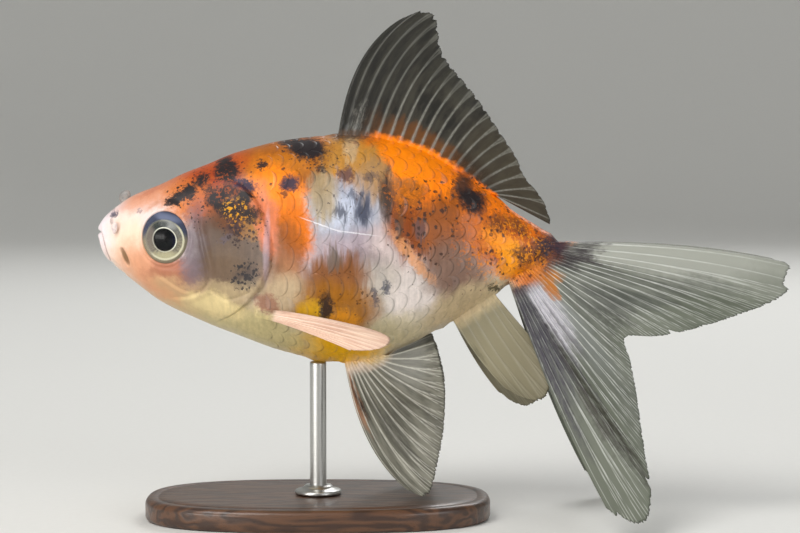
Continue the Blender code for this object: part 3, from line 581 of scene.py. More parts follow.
def markings_group(name, box=WHOLE_FISH):
    """Calico markings by place on the body, for the part of the side view in the box."""
    def near(cx, cz, rx, rz):
        size = max(rx, rz) * 1.6 + 1.5
        return box[0] - size < cx < box[1] + size and box[2] - size < cz < box[3] + size

    tree = bpy.data.node_groups.new(name, "ShaderNodeTree")
    for key, kind in (("Color", "NodeSocketColor"), ("Ink_and_painted_light", "NodeSocketFloat"), ("Pearl", "NodeSocketFloat")):
        tree.interface.new_socket(key, in_out="OUTPUT", socket_type=kind)
    sh = Shader(tree)
    place = sh.vector("SCALE", sh.vector("SUBTRACT", sh.place(), tuple(SNOUT)))
    place.node.inputs["Scale"].default_value = 1 / UNIT
    x, y, _ = sh.parts(place)
    # The far side of the trunk wears the same kinds of marks in other places;
    # the shift changes slowly enough that no mark folds over itself.
    far = sh.times(sh.step(y, 0.0, 7.0), sh.step(x, 13.0, 26.0))
    moved = sh.vector("MULTIPLY_ADD", sh.shift(sh.noise(place, 0.055, 0.0)), FAR_WARP, FAR_SHIFT)
    shifted = sh.vector("SCALE", moved)
    sh.feed(shifted.node.inputs["Scale"], far)
    flat = sh.vector("MULTIPLY", sh.vector("ADD", place, shifted), (1.0, 0.0, 1.0))

    coarse = sh.shift(sh.noise(place, 0.35, 2.0))
    fine = sh.shift(sh.noise(place, 1.7, 5.0, 0.72))
    thin = sh.shift(sh.noise(sh.vector("MULTIPLY", place, (1.5, 0.6, 0.22)), 1.0, 4.0, 0.6))

    def bent_by(noise, reach, base):
        return sh.vector("MULTIPLY_ADD", noise, reach, base)

    ways = {
        "soft": bent_by(coarse, (2.6, 0.0, 2.6), bent_by(fine, (1.7, 0.0, 1.7), flat)),
        "rag": bent_by(coarse, (1.0, 0.0, 1.0), bent_by(fine, (2.9, 0.0, 2.9), flat)),
        "streak": bent_by(thin, (1.6, 0.0, 7.0), flat),
        "line": bent_by(fine, (0.35, 0.0, 0.35), flat),
    }

    def paint(rows, colour, ink_and_painted_light=0.0):
        """The colour with each near row laid over it, and the greatest mask."""
        for way, cx, cz, rx, rz, tilt, soft, strength, tone in rows:
            if near(cx, cz, rx, rz):
                mask = sh.within(ways[way], cx, cz, rx, rz, tilt, soft, strength)
                colour = sh.mix(mask, colour, tone)
                ink_and_painted_light = None if ink_and_painted_light is None else sh.math("MAXIMUM", ink_and_painted_light, mask)
        return colour, ink_and_painted_light

    colour, _ = paint(AREAS, PEARL, None)
    # Fine variation of tone: vertical shot-silk streaks on the flank and small mottling all over.
    shade = sh.times(sh.parts(thin)[0], 1.1, 1.0)
    shade = sh.times(sh.parts(fine)[1], 0.8, shade)
    tone = sh.node("CombineColor")
    for socket in tone.inputs:
        sh.feed(socket, shade)
    colour = sh.mix(sh.step(x, 14.0, 22.0, 0.16, 0.60), colour, tone.outputs[0], "MULTIPLY")
    colour, ink_and_painted_light = paint(MARKS, colour)
    bent = bent_by(fine, (0.9, 0.9, 0.9), place)
    fields = {}
    for cx, cz, rx, rz, tilt, rate, size, strength, tone in DOTS:
        if not near(cx, cz, rx, rz):
            continue
        if rate not in fields:
            dots = sh.cells(bent, rate)
            chance = sh.node("SeparateColor")
            sh.feed(chance.inputs[0], dots["Color"])
            fields[rate] = dots["Distance"], sh.times(chance.outputs[0], 0.9, 0.25)
        far, odds = fields[rate]
        within = sh.within(ways["rag"], cx, cz, rx, rz, tilt, 0.4, size)
        limit = sh.times(within, odds)
        mask = sh.step(far, limit, sh.times(limit, 0.6), 0.0, strength)
        mask = sh.times(mask, sh.math("GREATER_THAN", limit, 0.05))
        colour = sh.mix(mask, colour, tone)
        ink_and_painted_light = sh.math("MAXIMUM", ink_and_painted_light, mask)
    # Flecks of gold and rust that wriggle through the dark patch and the tail's stalk.
    wriggle = sh.step(sh.noise(place, 2.0, 3.0, 0.65)["Fac"], 0.53, 0.59)
    for cx, cz, rx, rz, strength, tone in FLECKS:
        if near(cx, cz, rx, rz):
            mask = sh.times(wriggle, sh.within(ways["rag"], cx, cz, rx, rz, 0, 0.5, strength))
            colour = sh.mix(mask, colour, tone)
    pearl = sh.within(ways["streak"], 38.0, -1.0, 9.0, 9.0, 0, 0.4)
    out = sh.node("GroupOutput")
    for key, value in (("Color", colour), ("Ink_and_painted_light", ink_and_painted_light), ("Pearl", pearl)):
        sh.feed(out.inputs[key], value)
    return tree


MARKINGS = markings_group("calico_markings")


def skin_material(name, scaled):
    """Wet-looking pearly skin; the scaled kind adds the growth rings of a scale."""
    material, shader, sh = new_material(
        name, Specular_IOR_Level=0.28, Coat_Weight=0.05, Coat_Roughness=0.2)
    paint = sh.node("Group")
    paint.node_tree = MARKINGS
    place = sh.place()
    colour = paint.outputs["Color"]
    grain = sh.noise(place, 2600.0, 3.0, 0.6)["Fac"]
    height = grain
    if scaled:
        scale = sh.attribute("scale")["Vector"]
        _, back, shine = sh.parts(scale)
        rim = sh.step(back, 0.80, 1.0)
        colour = sh.mix(sh.times(rim, 0.03), colour, (250, 244, 236))
        colour = sh.mix(sh.times(shine, 0.08), colour, (236, 236, 240))
        rings = sh.math("SINE", sh.times(back, 60.0))
        height = sh.times(rings, 0.18, grain)
        sh.dress(shader, Metallic=sh.times(shine, 0.35, sh.times(paint.outputs["Pearl"], 0.10)))
    blotch = sh.times(sh.noise(place, 420.0, 2.0)["Fac"], 0.22, 0.30)
    sh.dress(shader, (height, 0.00002, 0.6), Base_Color=colour,
             Roughness=sh.times(paint.outputs["Ink_and_painted_light"], 0.12, blotch))
    return material


# ------------------------------------------------------------------- the skin
AROUND = 320                            # vertices around the body
SNOUT_RINGS, HEAD_RINGS, TRUNK_RINGS, END_RINGS = 34, 140, 118, 9
SKIN_MAP = 94.0                         # body units across the unwrap
HEAD_FROM, HEAD_TO = 2.6, 25.5          # the snout's last ring and the head's


def ring_places():
    """Share of the way to the tail's root for each ring, closest together on the head."""
    whole = STALK_TOP[0]
    snout = np.linspace(0.12, math.sqrt(HEAD_FROM), SNOUT_RINGS) ** 2
    head = np.linspace(HEAD_FROM, HEAD_TO, HEAD_RINGS + 1)[1:]
    trunk = np.linspace(HEAD_TO, whole, TRUNK_RINGS + 1)[1:]
    return np.sqrt(np.concatenate((snout, head, trunk)) / whole)


def eye_frame(side):
    """The eye's centre and its forward, outward and up directions."""
    c, s = math.cos(EYE_TURN), math.sin(EYE_TURN)
    centre = np.array((EYE_CENTRE[0], EYE_CENTRE[1] * side, EYE_CENTRE[2]))
    return centre, np.array((c, s * side, 0.0)), np.array((-s, c * side, 0.0)), np.array((0.0, 0.0, 1.0))


def sculpt_height(p):
    """How far each point of the plain body moves along its normal."""
    x, y, z = p[..., 0], np.abs(p[..., 1]), p[..., 2]
    lift = np.zeros(x.shape)
    # The mouth: a slit that runs steeply down from the snout, between two soft lips.
    d, share = to_line(MOUTH, x, z)
    fade = ease(share, 1.0, 0.9) * ease(x, 3.2, 2.2) * ease(x, 0.15, 0.6)
    lift += fade * (0.13 * hill(np.abs(d) - 0.42, 0.28) - 0.42 * hill(d, 0.15))
    # Folds behind the corner of the mouth.
    d, share = to_line(MOUTH_FOLD, x, z)
    lift -= 0.10 * hill(d, 0.25)
    d, share = to_line(MAXILLA, x, z)
    lift += 0.10 * hill(np.abs(d) - 0.55, 0.35) * ease(np.abs(d), 2.0, 0.2) - 0.26 * hill(d, 0.26)
    # Nostril: a pit before the flap and one behind it.
    lift -= 0.35 * hill(np.hypot(x - 2.7, z - 2.6), 0.34) + 0.22 * hill(np.hypot(x - 3.3, z - 1.9), 0.30)
    lift += 0.10 * hill(np.hypot(x - 3.0, z - 2.2) - 0.9, 0.3)
    # Cheek, preopercle and the gill cover with its free edge.
    lift += 0.16 * hill(np.hypot((x - 12.8) / 1.3, z + 6.0), 2.2)
    d, share = to_line(PREOPERCLE, x, z)
    ends = ease(share, 0.0, 0.12) * ease(share, 1.0, 0.8)
    lift += ends * (0.13 * hill(d + 0.55, 0.45) - 0.16 * hill(d, 0.24))
    d, share = to_line(JAW_FOLD, x, z)
    ends = ease(share, 0.0, 0.2) * ease(share, 1.0, 0.8)
    lift += ends * (0.10 * hill(d - 0.5, 0.4) - 0.11 * hill(d, 0.22))
    d, share = to_line(SUBOPERCLE, x, z)
    lift -= 0.13 * hill(d, 0.22) * ease(share, 0.0, 0.1) * ease(share, 1.0, 0.85)
    d, share = to_line(GILL_EDGE, x, z)
    ends = ease(share, 0.0, 0.16) * ease(share, 1.0, 0.9)
    edge = np.where(d > 0, 0.34 * hill(d, 2.2) * ease(d, 0.0, 0.22), -0.20 * hill(d, 0.55))
    ends = ends * (0.4 + 0.6 * ease(z, -13.5, -9.5))
    lift += ends * (edge - 0.10 * hill(d, 0.25))
    d, share = to_line(LATERAL_LINE, x, z)
    lift += 0.035 * hill(d, 0.22) * ease(share, 0.0, 0.05)
    # Fleshy fin roots.
    lift += 0.42 * hill(np.hypot(x - 25.4, (z + 11.3) * 1.1), 1.5)
    lift += 0.40 * hill(y, 0.8) * (z > 0) * ease(x, DORSAL_FROM - 2.5, DORSAL_FROM) * ease(x, 60.0, DORSAL_TO)
    under = z < -4
    lift += 0.45 * under * hill(y - PELVIC_OUT, 0.8) * ease(x, PELVIC_FROM - 1.6, PELVIC_FROM) * ease(
        x, PELVIC_TO + 1.6, PELVIC_TO)
    lift += 0.35 * under * hill(y - ANAL_OUT, 0.7) * ease(x, ANAL_FROM - 1.2, ANAL_FROM) * ease(
        x, ANAL_TO + 1.5, ANAL_TO)
    lift += 0.35 * under * hill(np.hypot(x - 49.9, y), 0.75)
    # The small pad on which the rod stands.
    lift += 0.36 * under * hill(np.hypot(x + SNOUT[0] / UNIT, y), 1.5)
    # The tail's stalk thins to the fins that grow from it.
    end = stalk_end(z)
    lift -= 0.55 * ease(x, end - 2.8, end - 0.2)
    # Unevenness of a living body: low swellings and faint muscle bands.
    lift += 0.045 * np.sin(0.55 * x + 0.9 * z) * np.sin(0.7 * z - 0.35 * x + p[..., 1] * 0.2)
    lift += 0.018 * np.sin(2.6 * (x + 0.35 * np.abs(z + 1.5))) * ease(x, 26.0, 30.0)
    return lift


def set_eye_room(p):
    """Lays a soft rim round each eyeball and tucks the skin away beneath it."""
    for side in (-1, 1):
        centre, along, out, up = eye_frame(side)
        q = p - centre
        a, o, u = q @ along, q @ out, q @ up
        e = np.hypot(a / EYE_RADII[0], u / EYE_RADII[2])
        outer = o > -2.0
        inside = (e < EYE_SHOWS) & outer
        spread = np.zeros(e.shape, bool)
        for i in (-1, 0, 1):
            for k in (-1, 0, 1):
                spread |= ~np.roll(np.roll(inside, i, 0), k, 1)
        edge = inside & spread
        hidden = inside & ~edge
        brow = EYE_RADII[1] * math.sqrt(1 - EYE_SHOWS**2) + 0.07 + 0.10 * ease(u, -0.5, 3.0)
        target = brow + 0.13 * hill(e - EYE_SHOWS - 0.055, 0.045) - 0.10 * hill(e - EYE_SHOWS - 0.17, 0.06)
        near = ease(e, 1.45, 0.96) * outer
        o = np.where(hidden, -0.9, np.where(edge, brow, o + near * (target - o)))
        pull = np.where(edge, EYE_SHOWS / np.maximum(e, 0.01), np.where(hidden, 0.9, 1.0))
        moved = centre + (a * pull)[..., None] * along + o[..., None] * out + (u * pull)[..., None] * up
        p = np.where(outer[..., None] & (e < 1.45)[..., None], moved, p)
    return p


def build_skin():
    """The sculpted skin as a grid of rings, from the snout to its rounded rear end."""
    share = ring_places()
    turn = 2 * np.pi * np.arange(AROUND) / AROUND
    f, turn = np.meshgrid(share, turn, indexing="ij")
    x = STALK_TOP[0] * f**2
    # The rings lean with the stalk's end; their places settle in a few rounds.
    for _ in range(14):
        z = body_point(x, turn)[..., 2]
        x = stalk_end(z) * f**2
    p = body_point(x, turn)
    plain = p.copy()
    p += grid_normals(p, True) * sculpt_height(p)[..., None]
    # The very front: a notch between the upper lip and the lower one.
    front = ease(plain[..., 0], 0.6, 0.15)
    p[..., 0] += front * (0.46 * hill(plain[..., 2] + 0.08, 0.20) - 0.10 * hill(plain[..., 2] - 0.62, 0.45)
                          - 0.08 * hill(plain[..., 2] + 0.75, 0.45))
    p = set_eye_room(p)
    # Rounded end between the two halves of the tail.
    last, caps = p[-1], []
    for k in range(1, END_RINGS + 1):
        a = 0.5 * np.pi * k / END_RINGS
        end = last.copy()
        end[:, 1] *= math.cos(a)
        centre = last.mean(0)
        shrink = 1 - 0.06 * math.sin(a)
        end[:, 2] = centre[2] + (end[:, 2] - centre[2]) * shrink
        end[:, 0] = centre[0] + (end[:, 0] - centre[0]) * shrink + 0.9 * math.sin(a)
        end[:, 2] -= 0.5 * math.sin(a)
        caps.append(end)
    return np.concatenate((p, np.array(caps)))


SKIN = build_skin()
SKIN_NORMALS = grid_normals(SKIN, True)


def skin_unwrap():
    """Where each grid point lies on a flat pelt of its side, halves one above the other."""
    half = AROUND // 2
    steps = np.linalg.norm(np.roll(SKIN, -1, 1) - SKIN, axis=-1)
    right = np.concatenate((np.zeros((len(SKIN), 1)), np.cumsum(steps[:, :half], 1)), 1)
    left = np.concatenate((np.cumsum(steps[:, half:][:, ::-1], 1)[:, ::-1], np.zeros((len(SKIN), 1))), 1)
    spine = SKIN[:, AROUND // 4]
    along = np.concatenate(([0], np.cumsum(np.linalg.norm(np.diff(spine, axis=0), axis=1))))
    u = np.repeat(0.02 + along[:, None] / SKIN_MAP, AROUND + 1, 1)
    v = np.empty((len(SKIN), AROUND + 1))
    v[:, :half + 1] = 0.25 - (right - right[:, -1:] / 2) / SKIN_MAP
    v[:, half:] = 0.75 - (left - left[:, :1] / 2) / SKIN_MAP
    v_half = 0.25 - (right[:, -1:] / 2) / SKIN_MAP
    return u, v, v_half


def skin_piece(material):
    """One seamless skin for the head, jaw, gill covers, trunk and tail's stalk."""
    rings = len(SKIN)
    index = np.arange(rings * AROUND).reshape(rings, AROUND)
    i, k = np.meshgrid(np.arange(rings - 1), np.arange(AROUND), indexing="ij")
    i, k = i.ravel(), k.ravel()
    n = (k + 1) % AROUND
    quads = np.stack((index[i, k], index[i + 1, k], index[i + 1, n], index[i, n]), 1)
    tip = rings * AROUND
    points = np.concatenate((SKIN.reshape(-1, 3), ((SKIN[0, :, 0].max() + 0.02, 0.0, -0.06),)))
    k0 = np.arange(AROUND)
    tris = np.stack((np.full(AROUND, tip), index[0, k0], index[0, (k0 + 1) % AROUND]), 1)
    u, v, v_half = skin_unwrap()
    uv = np.empty((len(quads), 4, 2))
    on_left = k >= AROUND // 2
    for c, (ci, ck) in enumerate(((i, k), (i + 1, k), (i + 1, k + 1), (i, k + 1))):
        uv[:, c, 0] = u[ci, ck]
        uv[:, c, 1] = np.where(~on_left & (ck == AROUND // 2), v_half[ci, 0], v[ci, ck])
    tip_uv = np.empty((AROUND, 3, 2))
    for c, ck in ((1, k0), (2, k0 + 1)):
        tip_uv[:, c, 0] = u[0, ck]
        tip_uv[:, c, 1] = np.where((k0 < AROUND // 2) & (ck == AROUND // 2), v_half[0, 0], v[0, ck])
    tip_uv[:, 0] = np.stack((np.full(AROUND, 0.015), np.where(k0 < AROUND // 2, 0.25, 0.75)), 1)
    nodes = ("head", "lower_jaw", "gill_cover_left", "gill_cover_right", "trunk", "tail_stalk")
    return make_piece("fish_skin", points, quads, material, nodes, tris=tris,
                      uv=np.concatenate((uv.reshape(-1, 2), tip_uv.reshape(-1, 2))))


FLANK_FROM, FLANK_TO, FLANK_STEP = 20.0, 68.0, 0.25
FLANK_RING = SNOUT_RINGS + 60           # a ring wholly ahead of the flank


def flank_lattice():
    """The skin's points, normals and unwrap again, at even distances from the snout."""
    u, v, _ = skin_unwrap()
    rings = slice(FLANK_RING, len(SKIN) - END_RINGS)
    fields = np.concatenate((SKIN, SKIN_NORMALS, u[:, :AROUND, None], v[:, :AROUND, None]), -1)[rings]
    xs = np.arange(FLANK_FROM, FLANK_TO, FLANK_STEP)
    held = np.empty((len(xs), AROUND, fields.shape[-1]))
    for k in range(AROUND):
        at = np.maximum.accumulate(fields[:, k, 0])
        for c in range(fields.shape[-1]):
            held[:, k, c] = np.interp(xs, at, fields[:, k, c])
    return held


FLANK = flank_lattice()


def on_flank(x, spoke):
    """Point, normal and unwrapped place of the skin at distances behind the snout."""
    at = np.clip((x - FLANK_FROM) / FLANK_STEP, 0, len(FLANK) - 1.001)
    i, j = np.floor(at).astype(int), np.floor(spoke).astype(int)
    fi, fj = (at - i)[..., None], (spoke - j)[..., None]
    j, n = j % AROUND, (j + 1) % AROUND
    held = ((FLANK[i, j] * (1 - fj) + FLANK[i, n] * fj) * (1 - fi)
            + (FLANK[i + 1, j] * (1 - fj) + FLANK[i + 1, n] * fj) * fi)
    normal = held[..., 3:6]
    return held[..., :3], normal / np.linalg.norm(normal, axis=-1, keepdims=True), held[..., 6:]


# ----------------------------------------------------------------- the scales
SCALE_ROWS = 13                         # rows on each side, from back to belly
SCALE_CELLS = 10                        # facets along and across each scale
SCALE_STEP, SCALE_STEP_TAIL = 2.0, 1.15 # exposed length at mid-body and near the tail
SCALE_SINK, SCALE_LIFT = 0.043, 0.020   # root below the skin, free edge above it
SCALE_THICK = 0.032
SCALE_PATCH = 0.003                     # each scale's width on the unwrap
WORDS = {-1: "left", 1: "right"}


def build_scales(side, material):
    """Thin overlapping plates of one flank, each free at its rounded rear edge."""
    rng = np.random.default_rng(11 if side < 0 else 12)
    columns = [24.0]
    while columns[-1] < 66.0:
        columns.append(columns[-1] + np.interp(columns[-1], (24, 30, 44, 62), (
            1.5, SCALE_STEP, SCALE_STEP, SCALE_STEP_TAIL)))
    columns = np.array(columns)
    cells = SCALE_CELLS
    a, b = np.meshgrid(np.linspace(0, 1, cells + 1), np.linspace(-1, 1, cells + 1), indexing="ij")
    outline = np.sqrt(np.clip(1 - 0.95 * np.abs(b) ** 2.2, 0, 1))
    rear = a * (0.36 + 0.64 * outline)
    spread = 0.66 + 0.34 * np.clip(rear / 0.5, 0, 1)
    sheet = np.arange((cells + 1) ** 2).reshape(cells + 1, cells + 1)
    rim = np.concatenate((sheet[0, :-1], sheet[:-1, -1], sheet[-1, :0:-1], sheet[:0:-1, 0]))
    top = np.stack((sheet[:-1, :-1], sheet[:-1, 1:], sheet[1:, 1:], sheet[1:, :-1]), -1).reshape(-1, 4)
    low = top[:, ::-1] + sheet.size
    wall = np.stack((rim, np.roll(rim, -1), np.roll(rim, -1) + sheet.size, rim + sheet.size), 1)[:, ::-1]
    quads = np.concatenate((top, low, wall))
    if side > 0:
        quads = quads[:, ::-1]
    made, values, uvs, shells, count = [], [], [], [], 0
    steps = np.diff(columns)
    half_width = AROUND / 4 / SCALE_ROWS * 1.12
    for row in range(SCALE_ROWS):
        mid = (row + 0.5) / SCALE_ROWS * AROUND / 2
        mid = mid if side > 0 else AROUND - mid
        for at, gap in zip(columns, steps):
            x0 = at + 0.5 * gap * (row % 2)
            spot, _, root = on_flank(np.array(x0), np.array(mid))
            d, _ = to_line(GILL_EDGE, spot[:1], spot[2:])
            if d[0] > -1.0 or x0 > stalk_end(spot[2]) - 1.2:
                continue
            xs = x0 + (rear * 1.95 - 0.95) * gap * (1 + 0.02 * rng.standard_normal())
            spokes = mid + b * half_width * spread * side
            p, n, _ = on_flank(xs, spokes)
            rise = -SCALE_SINK + SCALE_SINK * rear + SCALE_LIFT * a**3 + 0.003 * rng.standard_normal()
            upper = p + n * rise[..., None]
            lower = p + n * (rise - SCALE_THICK)[..., None]
            made.append(np.concatenate((upper.reshape(-1, 3), lower.reshape(-1, 3))))
            shine = (rng.random() < 0.12) * (0.3 + 0.7 * rng.random())
            facts = np.stack((b, rear, np.full(a.shape, shine)), -1).reshape(-1, 3)
            values.append(np.concatenate((facts, facts)))
            patch = root + SCALE_PATCH * np.stack((a - 0.5, b / 2), -1).reshape(-1, 2)
            uvs.append(np.concatenate((patch, patch))[quads.ravel()])
            shells.append(quads + count)
            count += 2 * sheet.size
    make_piece("scales_" + WORDS[side], np.concatenate(made), np.concatenate(shells), material,
               values={"scale": np.concatenate(values)}, uv=np.concatenate(uvs))


# ------------------------------------------------------------------- the fins
RAY_JOINT = 0.55                        # length of a ray's segments


# Each root is a line from its front or upper end to its rear or lower end, just inside the body.
def caudal_root(t):
    (xt, zt), (xl, zl) = STALK_TOP, STALK_LOW
    bulge = np.sin(np.pi * t) * 0.5
    return np.stack((xt + (xl - xt) * t + 0.42 + bulge * 0.7, 1.2 + 0.8 * t,
                     zt - 0.4 * (1 - t) + (zl - zt) * t - bulge * 0.7), -1)


def dorsal_root(t):
    x = DORSAL_FROM + (DORSAL_TO - DORSAL_FROM) * t
    return np.stack((x, 0 * x, section(x)[0] + 0.5), -1)


def pelvic_root(t):
    x = PELVIC_FROM + (PELVIC_TO - PELVIC_FROM) * t
    return np.stack((x, PELVIC_OUT + 0 * x, height_at(x, PELVIC_OUT) - 0.75), -1)


def anal_root(t):
    x = ANAL_FROM + (ANAL_TO - ANAL_FROM) * t
    return np.stack((x, ANAL_OUT + 0 * x, height_at(x, ANAL_OUT) - 0.55), -1)


def pectoral_root(t):
    (xa, za), (xb, zb) = PECTORAL_LOW, PECTORAL_HIGH
    x, z = xa + (xb - xa) * t, za + (zb - za) * t
    dy = side_at(x, z - 0.2) - side_at(x, z + 0.2)
    out = np.stack((0 * x, 0.4 + 0 * x, dy), -1)
    out /= np.linalg.norm(out, axis=-1, keepdims=True)
    return np.stack((x, side_at(x, z), z), -1) + out * 0.3


def ray_lines(angle, length, curl, s):
    """Side view of many curved rays, one row each, read at the shares s of their length."""
    steps = 48
    heading = -np.radians(curl)[:, None] * ((np.arange(steps) + 0.5) / steps) ** 1.6
    x = np.pad(np.cumsum(np.cos(heading), 1), ((0, 0), (1, 0))) / steps
    z = np.pad(np.cumsum(np.sin(heading), 1), ((0, 0), (1, 0))) / steps
    turn = np.radians(angle) - np.arctan2(z[:, -1], x[:, -1])
    size = length / np.hypot(x[:, -1], z[:, -1])
    c, q = (np.cos(turn) * size)[:, None], (np.sin(turn) * size)[:, None]
    x, z = x * c - z * q, x * q + z * c
    at = np.clip(s, -1, 1.02) * steps
    i = np.clip(np.floor(at).astype(int), 0, steps - 1)
    f, row = at - i, np.arange(len(x))[:, None]
    return x[row, i] * (1 - f) + x[row, i + 1] * f, z[row, i] * (1 - f) + z[row, i + 1] * f


def build_fin(name, nodes, rays, root, count, across, along, material, sink, flare, fade, wave, seed,
              side=1, sweep=0.0, size=1.0, nicks=(), stiff=1, branch=0.42, heavy=0.17, part=0.24):
    """A fan of branching rays with thin skin between them, as one closed blade.

    sink is its depth in the body; flare and fade thicken its foot; wave is the
    swing, number and start of its folds; nicks are places, widths and depths of
    notches in its margin; stiff rays at the front don't branch, the others part
    at the share branch; heavy is a ray's half width and part how far it parts.
    """
    rng = np.random.default_rng(seed)
    # Even spacing across the spread fan rather than along the root.
    t = np.linspace(0, 1, 401)
    angle, length, tip_y, curl = smooth_rows(rays, t)
    dx, dz = ray_lines(angle + sweep, length * size, curl, np.full((401, 1), 0.62))
    spread = np.column_stack((root(t)[:, 0] + dx[:, 0], root(t)[:, 2] + dz[:, 0]))
    arc = np.concatenate(([0], np.cumsum(np.linalg.norm(np.diff(spread, axis=0), axis=1))))
    w = np.linspace(0, 1, across + 1)
    t = np.interp(w, arc / arc[-1], t)
    angle, length, tip_y, curl = smooth_rows(rays, t)
    length = length * size
    foot = root(t)
    inside = sink / length
    q = np.linspace(0, 1, along + 1)
    reach = -inside[:, None] + (1 + inside[:, None]) * q          # below 0 inside the body

    # Branching: each ray parts in two, and each of those in two again.
    middle = np.linspace(0.010, 0.985, count) + 0.10 * (rng.random(count) - 0.5) / count
    split = branch + 0.12 * rng.random(count)
    lines = []
    for k in range(count):
        first = np.clip((reach - split[k]) / (1 - split[k]), 0, 1) * (stiff <= k < count - 1)
        second = np.clip((reach - split[k] - 0.22) / (0.78 - split[k]), 0, 1) * (stiff <= k < count - 1)
        for a in (-1, 1):
            for b in (-1, 1):
                lines.append(middle[k] + (part * a * first + 0.5 * part * b * second) / count)
    tip_near = np.min([np.abs(w - line[:, -1]) for line in lines], axis=0) * count * 4

    # Scalloped margin with a few nicks.
    cut = 0.020 * np.clip(tip_near, 0, 1) ** 2 + 0.012 * rng.random(across + 1) ** 3
    for at, width, depth in nicks:
        cut += depth * np.exp(-(((w - at) / width) ** 2))
    s = reach * (1 - cut[:, None] * np.clip(reach, 0, 1) ** 8)
    dx, dz = ray_lines(angle + sweep, length, curl, s)
    swing, folds, start = wave
    roll = swing * np.clip(s, 0, 1) ** 1.4 * np.sin(2 * np.pi * (folds * w[:, None] + start) + 2.2 * s)
    y = foot[:, 1:2] + (tip_y[:, None] - foot[:, 1:2]) * s + roll
    p = np.stack((foot[:, :1] + dx, y, foot[:, 2:] + dz), -1)
    normal = grid_normals(p, False)

    width = np.linalg.norm(np.gradient(p, axis=0), axis=-1) * across    # body units for the whole fan
    ray = np.zeros(s.shape)
    for line in lines:
        half = heavy * (1 - 0.5 * np.clip(s, 0, 1))
        ray = np.maximum(ray, np.exp(-(((w[:, None] - line) * width / half) ** 2)))
    far = reach * length[:, None]
    joint = 0.5 + 0.5 * np.sin(far * 2 * np.pi / RAY_JOINT)
    thick = 0.055 + ray * (0.125 - 0.065 * np.clip(s, 0, 1)) * (0.86 + 0.14 * joint)
    thick = thick + flare * np.exp(-np.clip(far / fade, -0.5, 9) ** 2 * np.sign(far + 1e-9))
    border = np.minimum(1, np.minimum(np.minimum(w, 1 - w)[:, None] * across, (1 - q)[None] * along) / 1.6)
    thick = thick * np.sqrt(border)
    front, back = p + normal * thick[..., None], p - normal * thick[..., None]
    front[..., 1] *= side
    back[..., 1] *= side

    # Both faces share the border's vertices.
    n_all = (across + 1) * (along + 1)
    a = np.arange(n_all).reshape(across + 1, along + 1)
    on_edge = np.zeros(a.shape, bool)
    on_edge[0] = on_edge[-1] = True
    on_edge[:, 0] = on_edge[:, -1] = True
    b = a.copy()
    b[~on_edge] = n_all + np.arange((~on_edge).sum())
    front[on_edge] = (front[on_edge] + back[on_edge]) / 2
    points = np.concatenate((front.reshape(-1, 3), back[~on_edge]))
    sheets = []
    for sheet, flip in ((a, side < 0), (b, side > 0)):
        quad = np.stack((sheet[:-1, :-1], sheet[1:, :-1], sheet[1:, 1:], sheet[:-1, 1:]), -1).reshape(-1, 4)
        sheets.append(quad[:, ::-1] if flip else quad)
    quads = np.concatenate(sheets)

    def both_faces(values):
        return np.concatenate((values.reshape(n_all, *values.shape[2:]), values[~on_edge]))

    fan = both_faces(np.stack((np.broadcast_to(w[:, None], s.shape), reach, ray), -1))
    # Unwrap: the fan seen from its own side, one island for each face.
    flat = p[..., (0, 2)]
    low, span = flat.min((0, 1)), np.ptp(flat, axis=(0, 1)).max()
    place = both_faces((flat - low) / span)
    uv = []
    for quad, shift in ((sheets[0], 0.0), (sheets[1], 0.5)):
        held = place[quad.ravel()]
        uv.append(np.stack((0.01 + 0.47 * held[:, 0] + shift, 0.01 + 0.97 * held[:, 1]), -1))
    make_piece(name, points, quads, material, nodes,
               values={"fan": fan, "reach": both_faces(far)}, uv=np.concatenate(uv))


